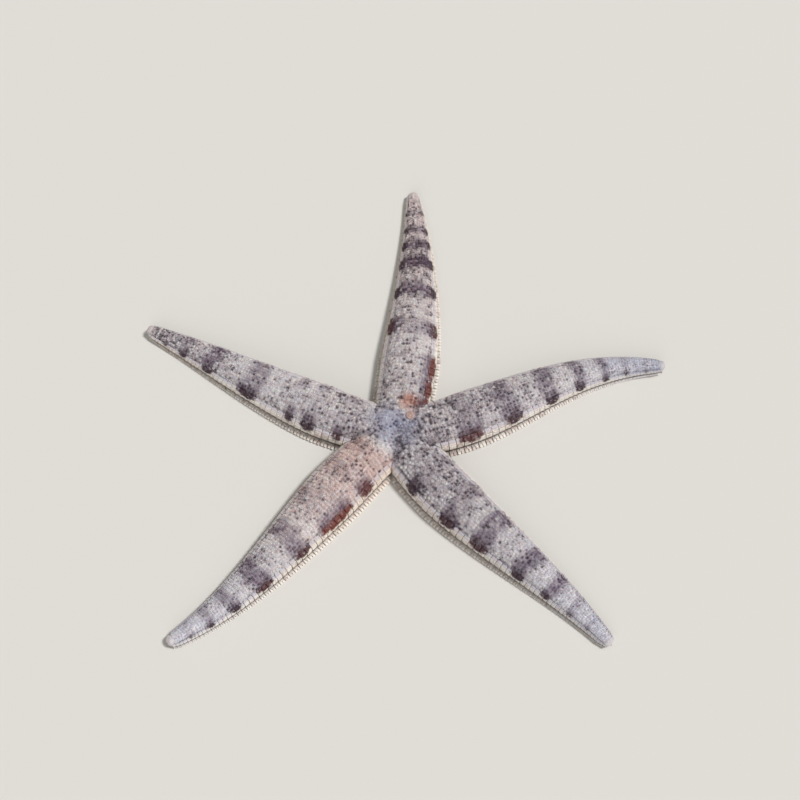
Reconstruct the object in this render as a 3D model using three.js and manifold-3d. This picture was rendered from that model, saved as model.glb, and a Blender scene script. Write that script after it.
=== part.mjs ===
// A common sand star, Archaster typicus, life-size and whole, lying with its five arms spread on sand.
// Millimetres, +Z up. The mouth faces the floor at z = 0, and a row of spines fringes each arm at the floor.
//
// Every arm is the same set of pieces swept along its own bent centreline:
//   base, middle and tip   three lengths of flesh: a domed back, an upright side and a flat, grooved sole
//   margins                the plates and flat spines along the left and the right side, in the same lengths
//   tube_feet              the two rows of feet in the groove
//   eye                    the end plate that carries the eye spot
// The arms meet in the disc, which holds the mouth under it and the madreporite on its back.
import * as THREE from "three";
import { mergeVertices } from "three/addons/utils/BufferGeometryUtils.js";
import Module from "manifold-3d";

const wasm = await Module();
wasm.setup();

// ---- Driving dimensions ------------------------------------------------------------------------------

const GAP = 0.15; // thin cut between neighbouring pieces
const BELOW = -1; // how far under the floor a cutting tool reaches

// Each arm's centreline starts at the disc's centre along `heading` and turns by sway * s + bend * s^2
// degrees, with s from 0 at the centre to 1 at the tip. `lift` raises the tip clear of the floor.
const ARMS = [
  { name: "arm_1", heading: 79, sway: 14, bend: 2, length: 72.6, lift: 0.6 },
  { name: "arm_2", heading: 5.5, sway: 92, bend: -108, length: 69.4, lift: 1.4 },
  { name: "arm_3", heading: -58.5, sway: 56, bend: -50, length: 69.6, lift: 0.5 },
  { name: "arm_4", heading: -139, sway: 46, bend: -57, length: 71.4, lift: 0.4 },
  { name: "arm_5", heading: 166, sway: -48.5, bend: 38, length: 69, lift: 0.9 },
];
const LIFT_FROM = 0.76; // s where a tip starts to rise

// Breadth and height of an arm, spines included, along s.
const SHOULDER = 0.28; // s of the broadest place
const SHOULDER_HALF_WIDTH = 7.7;
const TIP_HALF_WIDTH = 1.7;
const WAIST = 0.15; // share of the breadth lost again towards the centre
const SHOULDER_HEIGHT = 7.4;
const TIP_HEIGHT = 2.1;
const CROWN_SINK = 0.08; // share of the height lost again towards the centre
const TAPER = 1.26; // 1 tapers straight, more keeps the arm full for longer

// Shares of the half width and of the height at any place along an arm.
const PLATE_OUTER = 0.86; // outer face of the marginal plates; the spines take the rest
const PLATE_THICKNESS = 0.17;
const LEAST_PLATE = 0.45; // millimetres
const WALL_TOP = 0.58; // share of the height where the upright side ends and the dome starts
const PLATE_LEAN = 0.91; // the plates' top edge leans in to this share of their outer face
const SPINE_ROOT = 0.2; // upper edge of the spines' roots, which reach down to the floor
const LEAST_SPINE_ROOT = 0.7; // millimetres
const SPINE_POINT = 0.4; // share of its root's height where a spine's point lies
const SOLE_EDGE = 0.4; // millimetres, the bevel between sole and side

// Groove under an arm, as shares of the half width and height.
const GROOVE_HALF_WIDTH = 0.23;
const GROOVE_DEPTH = 0.34;

// Lengths of an arm.
const DISC_END = 0.125; // s where the disc ends and the arm's base starts
const MIDDLE_FROM = 0.4;
const TIP_FROM = 0.7;
const ARM_END = 0.975; // s where the end plate takes over
const MARGIN_START = 0.08; // the margins start here and are trimmed to their arm's sector
const MARGIN_END = 0.958; // the end plate is as broad as the arm, so they stop short of it
const LENGTHS = [
  { name: "base", from: DISC_END, to: MIDDLE_FROM, rings: 5, spines: 9 },
  { name: "middle", from: MIDDLE_FROM, to: TIP_FROM, rings: 4, spines: 8 },
  { name: "tip", from: TIP_FROM, to: ARM_END, rings: 4, spines: 8 },
];
const DOME_STEPS = 8;

// Disc, mouth, madreporite, end plates and tube feet.
const MOUTH_RADIUS = 3.3;
const MOUTH_DEPTH = 2.3;
const JAW_REACH = 0.7; // jaw tips stop this far from the centre
const JAW_GAP_RADIUS = 2.1; // opening between two jaws
const JAW_HEIGHT = 1.3;
const MADREPORITE = { radius: 1.25, thickness: 0.9, fromCentre: 4.6, angle: 42, tilt: 17, base: 5.75 };
const EYE_LENGTH = 1.9;
const EYE_CLEARANCE = 0.05; // the end plate stays this far off the floor
const EYE_SPREAD = 0.88; // half breadth as a share of the arm's own at its end
const FOOT_PAIRS = 5;
const FEET_FROM = 0.16;
const FEET_TO = 0.8;
const FOOT_CLEARANCE = 0.3; // feet stop above the floor
const FOOT_RIDGE = 0.6; // thickness of the ridge in the groove that the feet hang from
const FOOT_RIDGE_TOP = 0.8; // share of the groove's depth
const FOOT_RIDGE_WIDTH = 0.62; // shares of the groove's half width, also for the next two
const FOOT_OFFSET = 0.42;
const FOOT_RADIUS = 0.27;
const FOOT_TAPER = 0.75; // radius at a foot's tip, as a share of that at its root

// ---- Arm shape ---------------------------------------------------------------------------------------

const radians = THREE.MathUtils.degToRad;

/** Place and heading along an arm's centreline, by summing short straight steps. */
function centreline(arm) {
  const steps = 240;
  const heading = (s) => radians(arm.heading + arm.sway * s + arm.bend * s * s);
  const path = [{ x: 0, y: 0 }];
  for (let i = 0; i < steps; i++) {
    const angle = heading((i + 0.5) / steps);
    const step = arm.length / steps;
    path.push({ x: path[i].x + step * Math.cos(angle), y: path[i].y + step * Math.sin(angle) });
  }
  return (s) => {
    const i = Math.min(Math.floor(s * steps), steps - 1);
    const t = s * steps - i;
    return {
      x: THREE.MathUtils.lerp(path[i].x, path[i + 1].x, t),
      y: THREE.MathUtils.lerp(path[i].y, path[i + 1].y, t),
      heading: heading(s),
    };
  };
}

/** 1 at the shoulder, falling to 0 at the tip. */
const fullness = (s) => 1 - (Math.max(0, s - SHOULDER) / (1 - SHOULDER)) ** TAPER;
/** 0 from the shoulder outwards, rising to 1 at the disc's centre. */
const inwards = (s) => (Math.max(0, SHOULDER - s) / SHOULDER) ** 2;

const halfWidth = (s) =>
  (TIP_HALF_WIDTH + (SHOULDER_HALF_WIDTH - TIP_HALF_WIDTH) * fullness(s)) * (1 - WAIST * inwards(s));
const height = (s) =>
  (TIP_HEIGHT + (SHOULDER_HEIGHT - TIP_HEIGHT) * fullness(s)) * (1 - CROWN_SINK * inwards(s));
const lift = (arm, s) => arm.lift * (Math.max(0, s - LIFT_FROM) / (1 - LIFT_FROM)) ** 2;

const plateOuter = (s) => halfWidth(s) * PLATE_OUTER;
const plateInner = (s) => plateOuter(s) - Math.max(LEAST_PLATE, halfWidth(s) * PLATE_THICKNESS);
const fleshSide = (s) => plateInner(s) - GAP;

/** A point of an arm: `out` to the left of its centreline and `up` from its sole, at s. */
function armPoint(arm, s, out, up) {
  const c = arm.at(s);
  return new THREE.Vector3(
    c.x - out * Math.sin(c.heading),
    c.y + out * Math.cos(c.heading),
    up + lift(arm, s),
  );
}

const stations = (from, to, count) =>
  Array.from({ length: count }, (_, i) => THREE.MathUtils.lerp(from, to, i / (count - 1)));

// ---- Outlines across an arm, counter-clockwise, as [out, up] -----------------------------------------

/** The back and sides of the flesh, from the left bevel of the sole over the dome to the right one. */
function backOutline(s) {
  const side = fleshSide(s);
  const wall = height(s) * WALL_TOP;
  const edge = Math.min(SOLE_EDGE, side * 0.3);
  const dome = Array.from({ length: DOME_STEPS + 1 }, (_, i) => {
    const angle = (Math.PI * i) / DOME_STEPS;
    return [side * Math.cos(angle), wall + (height(s) - wall) * Math.sin(angle)];
  });
  return [[side - edge, 0], [side, edge], ...dome, [-side, edge], [edge - side, 0]];
}

/** The groove's arch, from its right foot to its left one. */
function archOutline(s) {
  const half = halfWidth(s) * GROOVE_HALF_WIDTH;
  const depth = height(s) * GROOVE_DEPTH;
  return [[-half, 0], [-half * 0.75, depth * 0.75], [0, depth], [half * 0.75, depth * 0.75], [half, 0]];
}

const fleshOutline = (s) => [...backOutline(s), ...archOutline(s)];

/** The groove as a cutting tool, reaching below the floor. */
function grooveOutline(s) {
  const arch = archOutline(s).reverse();
  return [[arch.at(-1)[0], BELOW], [arch[0][0], BELOW], ...arch];
}

// ---- Meshes and solids -------------------------------------------------------------------------------

function indexed(points, faces) {
  return new THREE.BufferGeometry().setFromPoints(points).setIndex(faces);
}

/** Sides between equal rings of points, as index triples, with `skip` naming the sides left open. */
function ringSides(rings, across, skip = -1) {
  const faces = [];
  for (let i = 0; i + 1 < rings; i++) {
    for (let j = 0; j < across; j++) {
      if (j === skip) continue;
      const a = i * across + j;
      const b = i * across + ((j + 1) % across);
      faces.push(a, b, a + across, b, b + across, a + across);
    }
  }
  return faces;
}

/** Both end faces of a run of rings whose outline is given as [out, up]. */
function endFaces(first, last, lastStart) {
  const triangles = (outline) =>
    THREE.ShapeUtils.triangulateShape(outline.map(([x, y]) => new THREE.Vector2(x, y)), []);
  return [
    ...triangles(first).flatMap(([a, b, c]) => [c, b, a]),
    ...triangles(last).flatMap(([a, b, c]) => [a + lastStart, b + lastStart, c + lastStart]),
  ];
}

/** A closed body swept along an arm, with one ring of outline(s) at each station. */
function sweep(arm, at, outline) {
  const across = outline(at[0]).length;
  const points = at.flatMap((s) => outline(s).map(([out, up]) => armPoint(arm, s, out, up)));
  const faces = ringSides(at.length, across);
  faces.push(...endFaces(outline(at[0]), outline(at.at(-1)), (at.length - 1) * across));
  return indexed(points, faces);
}

function toSolid(geometry) {
  const bare = geometry.clone();
  bare.deleteAttribute("normal");
  bare.deleteAttribute("uv");
  const merged = mergeVertices(bare, 1e-4);
  return new wasm.Manifold(
    new wasm.Mesh({
      numProp: 3,
      vertProperties: merged.attributes.position.array,
      triVerts: new Uint32Array(merged.index.array),
    }),
  );
}

function toGeometry(solid) {
  const mesh = solid.getMesh();
  return new THREE.BufferGeometry()
    .setAttribute("position", new THREE.BufferAttribute(mesh.vertProperties, 3))
    .setIndex(new THREE.BufferAttribute(mesh.triVerts, 1));
}

const joined = (solids) => solids.reduce((whole, solid) => whole.add(solid));

// ---- Pieces of an arm --------------------------------------------------------------------------------

/** One length of an arm's flesh. */
function fleshLength(arm, length) {
  const cut = GAP / 2 / arm.length;
  return sweep(arm, stations(length.from + cut, length.to - cut, length.rings), fleshOutline);
}

/** Upper edge of the spines' roots. */
const spineRoot = (s) => Math.max(LEAST_SPINE_ROOT, height(s) * SPINE_ROOT);

/** The marginal plates' section on one side, outwards from the flesh. Side 1 is left and -1 right. */
function plateOutline(s, side) {
  const inner = plateInner(s);
  const outer = plateOuter(s);
  const wall = height(s) * WALL_TOP;
  const shoulder = [outer * PLATE_LEAN, wall * 0.93];
  const outline = [[inner, 0], [outer, 0], [outer, spineRoot(s)], shoulder, [inner, wall]];
  return side > 0 ? outline : outline.map(([out, up]) => [-out, up]).reverse();
}

/** Plates and spines along one side of a length, with one pointed spine between every two stations. */
function marginLength(arm, side, from, to, spines) {
  const at = stations(from, to, spines + 1);
  const across = plateOutline(from, side).length;
  const rootFace = side > 0 ? 1 : across - 3;
  const points = at.flatMap((s) => plateOutline(s, side).map(([out, up]) => armPoint(arm, s, out, up)));
  const faces = ringSides(at.length, across, rootFace);
  faces.push(...endFaces(plateOutline(from, side), plateOutline(to, side), (at.length - 1) * across));
  for (let i = 0; i < spines; i++) {
    const s = (at[i] + at[i + 1]) / 2;
    const tip = points.push(armPoint(arm, s, side * halfWidth(s), spineRoot(s) * SPINE_POINT)) - 1;
    const corner = i * across + rootFace;
    const around = [corner, corner + 1, corner + 1 + across, corner + across];
    around.forEach((a, j) => faces.push(a, around[(j + 1) % around.length], tip));
  }
  return indexed(points, faces);
}

/** The sector that belongs to an arm, as a tall prism between the bisectors to its neighbours. */
function sector(arm) {
  const reach = 120;
  const above = 20;
  const from = radians(arm.sector[0]);
  const to = radians(arm.sector[1]);
  const middle = (from + to) / 2;
  const back = GAP / 2 / Math.sin((to - from) / 2);
  const apex = new THREE.Vector2(back * Math.cos(middle), back * Math.sin(middle));
  const corner = (angle) => new THREE.Vector2(reach * Math.cos(angle), reach * Math.sin(angle)).add(apex);
  const shape = new THREE.Shape([apex, corner(from), corner(to)]);
  return new THREE.ExtrudeGeometry(shape, { depth: above, bevelEnabled: false }).translate(0, 0, BELOW);
}

function margin(arm, side, length) {
  const cut = GAP / 2 / arm.length;
  if (length.name !== "base") {
    const to = length.name === "tip" ? MARGIN_END : length.to - cut;
    return marginLength(arm, side, length.from + cut, to, length.spines);
  }
  const whole = toSolid(marginLength(arm, side, MARGIN_START, length.to - cut, length.spines + 2));
  return toGeometry(whole.intersect(toSolid(sector(arm))));
}

/** The end plate: a small blunt knob whose back fits over the end of the arm's flesh. */
function endKnob(arm, grow) {
  const c = arm.at(ARM_END);
  const half = halfWidth(ARM_END) * EYE_SPREAD;
  const tall = height(ARM_END);
  return new THREE.SphereGeometry(1, 8, 6)
    .scale(EYE_LENGTH / 2 + grow, half + grow, tall / 2 + grow)
    .rotateZ(c.heading)
    .translate(c.x, c.y, tall / 2 + lift(arm, ARM_END) + EYE_CLEARANCE);
}

/** The two rows of tube feet, hanging from the ridge along the groove's roof. */
function tubeFeet(arm) {
  const ridgeTop = (s) => height(s) * GROOVE_DEPTH * FOOT_RIDGE_TOP;
  const ridge = (s) => {
    const half = halfWidth(s) * GROOVE_HALF_WIDTH * FOOT_RIDGE_WIDTH;
    const top = ridgeTop(s) - GAP / 2;
    return [[half, top - FOOT_RIDGE], [half, top], [-half, top], [-half, top - FOOT_RIDGE]];
  };
  const foot = (s, side) => {
    const root = ridgeTop(s) - FOOT_RIDGE / 2;
    const long = root - FOOT_CLEARANCE;
    const groove = halfWidth(s) * GROOVE_HALF_WIDTH;
    const place = armPoint(arm, s, side * groove * FOOT_OFFSET, root - long / 2);
    const radius = groove * FOOT_RADIUS;
    const tube = new THREE.CylinderGeometry(radius, radius * FOOT_TAPER, long, 4);
    return toSolid(tube.rotateX(Math.PI / 2).translate(place.x, place.y, place.z));
  };
  const places = stations(FEET_FROM + 0.02, FEET_TO - 0.02, FOOT_PAIRS);
  const feet = places.flatMap((s) => [foot(s, 1), foot(s, -1)]);
  return toGeometry(joined([toSolid(sweep(arm, stations(FEET_FROM, FEET_TO, 6), ridge)), ...feet]));
}

// ---- Pieces of the disc ------------------------------------------------------------------------------

/** A body of revolution about the disc's axis, from [radius, height] pairs, from the axis to the axis. */
function turned(profile, segments) {
  const points = profile.map(([r, z]) => new THREE.Vector2(r, z));
  return new THREE.LatheGeometry(points, segments).rotateX(Math.PI / 2);
}

function madreporite(grow) {
  const { radius, thickness, fromCentre, angle, tilt, base } = MADREPORITE;
  const rim = radius + grow;
  const crown = [[radius * 0.6, thickness], [0, thickness]];
  return turned([[0, -grow], [rim, -grow], [rim, thickness * 0.7], ...crown], 10)
    .rotateY(radians(tilt))
    .translate(fromCentre, 0, base)
    .rotateZ(radians(angle));
}

/** The disc: the arms' inner ends, less mouth, grooves, the madreporite's seat and the margins' room. */
function disc(arms) {
  const cut = GAP / 2 / arms[0].length;
  const stubs = arms.map((arm) => toSolid(sweep(arm, stations(0, DISC_END - cut, 3), backOutline)));
  const mouth = [
    [0, BELOW],
    [MOUTH_RADIUS, BELOW],
    [MOUTH_RADIUS, MOUTH_DEPTH * 0.7],
    [MOUTH_RADIUS * 0.6, MOUTH_DEPTH],
    [0, MOUTH_DEPTH],
  ];
  const grooves = arms.map((arm) => toSolid(sweep(arm, stations(0, DISC_END + 0.02, 3), grooveOutline)));
  const seats = [toSolid(turned(mouth, 16)), toSolid(madreporite(GAP / 2)), ...arms.flatMap(marginRoom)];
  return toGeometry(joined(stubs).subtract(joined([...grooves, ...seats])));
}

/** The room that an arm's margins take beside the disc: all of its sector further out than its flesh. */
function marginRoom(arm) {
  const far = 15;
  const places = stations(MARGIN_START / 2, DISC_END + 0.03, 3);
  const beside = (s, side) => {
    const near = fleshSide(s);
    const outline = [[near, BELOW], [far, BELOW], [far, far], [near, far]];
    return side > 0 ? outline : outline.map(([out, up]) => [-out, up]).reverse();
  };
  const room = (side) => toSolid(sweep(arm, places, (s) => beside(s, side)));
  return [room(1), room(-1)].map((solid) => solid.intersect(toSolid(sector(arm))));
}

/** The mouth frame: a ring with five pairs of jaws that point at the centre, between the arms. */
function mouthFrame(arms) {
  const outer = MOUTH_RADIUS - GAP;
  const frame = new THREE.Shape();
  frame.absarc(0, 0, outer, 0, 2 * Math.PI);
  const opening = new THREE.Path();
  arms.forEach((arm, i) => {
    const towards = radians(arm.bearing);
    const jaw = radians(arm.sector[0]);
    const at = (r, angle) => [r * Math.cos(angle), r * Math.sin(angle)];
    if (i === 0) opening.moveTo(...at(JAW_GAP_RADIUS, towards));
    else opening.lineTo(...at(JAW_GAP_RADIUS, towards));
    opening.lineTo(...at(JAW_REACH, jaw));
  });
  opening.closePath();
  frame.holes.push(opening);
  return new THREE.ExtrudeGeometry(frame, { depth: JAW_HEIGHT, bevelEnabled: false, curveSegments: 16 })
    .translate(0, 0, FOOT_CLEARANCE);
}

// ---- Build -------------------------------------------------------------------------------------------

const COLOURS = {
  flesh: { color: 0x9c9298, roughness: 0.8 },
  margin: { color: 0xe4d2bc, roughness: 0.7 },
  madreporite: { color: 0xcfc6bd, roughness: 0.75 },
  mouth: { color: 0xe2d3b6, roughness: 0.7 },
  feet: { color: 0xe8dcc0, roughness: 0.45 },
  eye: { color: 0xc9bfc4, roughness: 0.6 },
};

function piece(name, geometry, look) {
  const mesh = new THREE.Mesh(geometry, new THREE.MeshStandardMaterial({ ...COLOURS[look], metalness: 0 }));
  mesh.name = name;
  return mesh;
}

// Every arm gets its centreline, the bearing at which it leaves the disc, and its sector: from the bisector
// with the arm on its right to that with the arm on its left.
const bearings = ARMS.map((arm) => {
  const root = centreline(arm)(DISC_END);
  return THREE.MathUtils.radToDeg(Math.atan2(root.y, root.x));
});
const turn = (from, to) => THREE.MathUtils.euclideanModulo(to - from, 360);
const arms = ARMS.map((arm, i) => {
  const bearing = bearings[i];
  const right = bearings[(i + 1) % ARMS.length];
  const left = bearings.at(i - 1);
  return {
    ...arm,
    bearing,
    at: centreline(arm),
    sector: [bearing - turn(right, bearing) / 2, bearing + turn(bearing, left) / 2],
  };
});

const star = new THREE.Group();
for (const arm of arms) {
  for (const length of LENGTHS) {
    const flesh = fleshLength(arm, length);
    const isTip = length.name === "tip";
    const fitted = isTip ? toGeometry(toSolid(flesh).subtract(toSolid(endKnob(arm, GAP / 2)))) : flesh;
    star.add(piece(`${arm.name}_${length.name}`, fitted, "flesh"));
    star.add(piece(`${arm.name}_margin_left_${length.name}`, margin(arm, 1, length), "margin"));
    star.add(piece(`${arm.name}_margin_right_${length.name}`, margin(arm, -1, length), "margin"));
  }
  star.add(piece(`${arm.name}_tube_feet`, tubeFeet(arm), "feet"));
  star.add(piece(`${arm.name}_eye`, endKnob(arm, 0), "eye"));
}
star.add(piece("disc", disc(arms), "flesh"));
star.add(piece("madreporite", madreporite(0), "madreporite"));
star.add(piece("mouth", mouthFrame(arms), "mouth"));

// The origin stands on the floor under the middle of the outline.
const footprint = new THREE.Box3().setFromObject(star);
star.position.set(-(footprint.min.x + footprint.max.x) / 2, -(footprint.min.y + footprint.max.y) / 2, 0);

export default star;
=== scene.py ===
"""A common sand star, life-size, dressed over its CAD frame.

One skin stands for the flesh of the disc and the five arms. Over it stand the paxillae, short columns
crowned with spinelets. Marginal plates, fringe spines, the plates and feet of the underside, the mouth,
the madreporite and the end plates are pieces of their own.

Sizes and places are in millimetres, in the CAD frame, and meshes are written in metres.
"""

import logging
import math
from collections.abc import Iterable
from dataclasses import dataclass, fields
from enum import Enum

import bmesh
import bpy
import numpy as np
from mathutils import Matrix, Vector, noise
from mathutils.bvhtree import BVHTree
from mathutils.kdtree import KDTree


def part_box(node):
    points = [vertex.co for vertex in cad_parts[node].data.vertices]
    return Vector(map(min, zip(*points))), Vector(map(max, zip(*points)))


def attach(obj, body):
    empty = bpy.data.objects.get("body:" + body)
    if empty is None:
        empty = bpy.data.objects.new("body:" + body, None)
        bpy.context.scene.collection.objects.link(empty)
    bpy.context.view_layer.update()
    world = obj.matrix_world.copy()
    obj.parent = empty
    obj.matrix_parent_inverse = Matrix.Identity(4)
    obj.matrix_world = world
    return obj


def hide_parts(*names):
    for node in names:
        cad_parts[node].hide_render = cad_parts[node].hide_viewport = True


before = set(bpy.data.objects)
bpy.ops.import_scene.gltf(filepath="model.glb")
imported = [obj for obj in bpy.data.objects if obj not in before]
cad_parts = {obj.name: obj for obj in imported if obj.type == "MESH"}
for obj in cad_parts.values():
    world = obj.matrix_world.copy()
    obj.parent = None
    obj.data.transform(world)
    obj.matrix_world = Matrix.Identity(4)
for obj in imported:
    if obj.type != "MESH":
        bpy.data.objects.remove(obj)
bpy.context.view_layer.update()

MM = 0.001
BAKE_MAP = "OFBake"
TUFT_PATCH = 0.003  # breadth of one tuft's patch on the bake map
SHADE_AT = (0.12, 0.36, 0.64, 0.9)  # s of the four places at which an arm's shades are given
DISC_EDGE = 0.125  # s at which an arm's bearing parts it from its neighbours
GOLDEN_ANGLE = math.pi * (3 - math.sqrt(5))  # turn from one point of an even spiral to the next
WELD = 1e-4  # points nearer to each other than this are merged
UP = Vector((0, 0, 1))
PARTS = ("base", "middle", "tip")  # the lengths into which the CAD divides an arm

Array = np.ndarray
Rng = np.random.Generator
Pair = tuple[float, float]
Outline = tuple[Pair, ...]
BMesh = bmesh.types.BMesh
Piece = bpy.types.Object
Material = bpy.types.Material
Tree = bpy.types.NodeTree
Socket = bpy.types.NodeSocket

log = logging.getLogger("sand_star")


class Side(Enum):
    """The two sides of an arm, as seen from the disc's centre looking outwards."""

    LEFT = 1
    RIGHT = -1


# ---- Arms ----


@dataclass(frozen=True)
class Band:
    """One dark band across an arm, with the blotches where it meets the marginal plates."""

    at: float  # s of its middle
    back: float  # how dark it is on the crown of the back, 0 to 1
    left: float  # half the length of its blotch on the left margin, 0 for none
    right: float  # the same on the right margin
    red: float = 0.0  # how far the blotches lean from maroon to brick red


@dataclass(frozen=True)
class ArmPose:
    """How one arm lies, and how it is marked.

    The centreline leaves the disc's centre along `heading` and turns by sway * s + bend * s**2 degrees,
    with s from 0 at the centre to 1 at the tip.
    """

    name: str
    heading: float
    sway: float
    bend: float
    length: float
    lift: float  # how high the tip is raised
    warmth: tuple[float, ...]  # from blue-grey at -1 to pink at 1, at each of SHADE_AT
    light: tuple[float, ...]  # how much paler than most of the back, at each of SHADE_AT
    faint: Side | None  # the side whose blotches are weaker, if one is
    bands: tuple[Band, ...]


POSES = (
    ArmPose(
        "arm_1", heading=79, sway=14, bend=2, length=72.6, lift=0.6,
        warmth=(0.0, 0.0, 0.15, 0.2), light=(0.15, 0.3, 0.0, 0.2), faint=None,
        bands=(
            Band(0.1, 0.0, 0.0, 2.6, 0.9), Band(0.17, 0.0, 0.0, 2.4, 0.9), Band(0.235, 0.0, 0.0, 3.4, 0.9),
            Band(0.385, 0.35, 2.6, 2.2, 0.3), Band(0.54, 0.75, 2.0, 1.8), Band(0.66, 0.9, 1.8, 1.7),
            Band(0.74, 0.8, 1.5, 1.4), Band(0.81, 0.6, 1.2, 1.2), Band(0.89, 0.3, 0.9, 0.9),
        ),
    ),
    ArmPose(
        "arm_2", heading=5.5, sway=92, bend=-108, length=69.4, lift=1.4,
        warmth=(-0.05, -0.1, -0.1, -0.55), light=(-0.05, 0.15, 0.3, 0.6), faint=Side.LEFT,
        bands=(
            Band(0.235, 0.3, 2.4, 3.0, 0.45), Band(0.385, 0.5, 2.4, 2.4, 0.1), Band(0.545, 0.6, 2.2, 2.0),
            Band(0.668, 0.7, 1.6, 1.4), Band(0.765, 0.6, 1.0, 1.0), Band(0.845, 0.4, 0.7, 0.7),
            Band(0.92, 0.3, 0.6, 0.6),
        ),
    ),
    ArmPose(
        "arm_3", heading=-58.5, sway=56, bend=-50, length=69.6, lift=0.5,
        warmth=(-0.1, -0.1, -0.2, -0.4), light=(-0.05, 0.1, 0.3, 0.8), faint=Side.LEFT,
        bands=(
            Band(0.205, 0.15, 2.0, 1.8), Band(0.345, 0.3, 2.4, 2.3, 0.1), Band(0.475, 0.65, 2.4, 2.4, 0.15),
            Band(0.63, 0.75, 1.9, 1.8), Band(0.742, 0.8, 1.4, 1.3), Band(0.83, 0.45, 0.9, 0.8),
            Band(0.9, 0.3, 0.7, 0.6),
        ),
    ),
    ArmPose(
        "arm_4", heading=-139, sway=46, bend=-57, length=71.4, lift=0.4,
        warmth=(0.5, 0.25, -0.15, -0.35), light=(0.25, 0.4, 0.2, 0.65), faint=Side.RIGHT,
        bands=(
            Band(0.225, 0.15, 2.2, 1.6, 0.6), Band(0.355, 0.2, 5.0, 2.4, 1.0),
            Band(0.505, 0.55, 2.2, 2.4, 0.3), Band(0.66, 0.7, 2.2, 2.0, 0.3), Band(0.77, 0.55, 1.4, 1.3),
            Band(0.85, 0.5, 1.0, 1.0), Band(0.915, 0.3, 0.7, 0.7),
        ),
    ),
    ArmPose(
        "arm_5", heading=166, sway=-48.5, bend=38, length=69, lift=0.9,
        warmth=(-0.05, -0.1, -0.1, -0.05), light=(0.05, 0.35, 0.2, -0.1), faint=Side.RIGHT,
        bands=(
            Band(0.18, 0.1, 1.2, 1.2, 0.3), Band(0.285, 0.15, 1.8, 1.6), Band(0.36, 0.2, 1.2, 1.2),
            Band(0.525, 0.45, 2.8, 2.6), Band(0.705, 0.8, 1.8, 2.0), Band(0.82, 0.5, 1.2, 1.2),
            Band(0.9, 0.3, 0.8, 0.8),
        ),
    ),
)


@dataclass(frozen=True)
class ArmProfile:
    """Breadth and height of an arm along s, and the shares of them that its parts take."""

    shoulder: float = 0.28  # s of the fullest place
    shoulder_half_width: float = 7.7
    tip_half_width: float = 1.7
    waist: float = 0.15  # share of the breadth lost at the disc's centre
    shoulder_height: float = 7.4
    tip_height: float = 2.1
    crown_sink: float = 0.08  # the same for the height
    taper: float = 1.26
    lift_from: float = 0.76  # s from which the tip is raised
    plate_outer: float = 0.86  # from here on, shares are of the half-breadth or the height
    plate_thickness: float = 0.17
    least_plate: float = 0.25  # in millimetres, as are the gap and the sole's rounded edge
    wall_top: float = 0.58
    gap: float = 0.15
    sole_edge: float = 0.4
    groove_half_width: float = 0.23
    groove_depth: float = 0.34
    arm_end: float = 0.975  # s at which the flesh ends
    margin_end: float = 0.983  # and the rows of plates

    def fullness(self, s: Array) -> Array:
        """1 at the shoulder, falling to 0 at the tip."""
        return 1 - (np.maximum(0, s - self.shoulder) / (1 - self.shoulder)) ** self.taper

    def inwards(self, s: Array) -> Array:
        """0 from the shoulder outwards, rising to 1 at the disc's centre."""
        return (np.maximum(0, self.shoulder - s) / self.shoulder) ** 2

    def half_width(self, s: Array) -> Array:
        """Half the breadth at s, fringe spines included."""
        spare = self.shoulder_half_width - self.tip_half_width
        return (self.tip_half_width + spare * self.fullness(s)) * (1 - self.waist * self.inwards(s))

    def height(self, s: Array) -> Array:
        """Height of the back at s, paxillae included."""
        spare = self.shoulder_height - self.tip_height
        return (self.tip_height + spare * self.fullness(s)) * (1 - self.crown_sink * self.inwards(s))

    def flesh_side(self, s: Array) -> Array:
        """Half the breadth of the flesh at s, between the marginal plates."""
        plate = np.maximum(self.least_plate, self.half_width(s) * self.plate_thickness)
        return self.half_width(s) * self.plate_outer - plate - self.gap

    def pitch_share(self, s: Array | float, at_tip: float) -> Array | float:
        """Share of the shoulder's pitch that is left at s, down to at_tip at the tip."""
        return at_tip + (1 - at_tip) * self.fullness(s)


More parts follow.
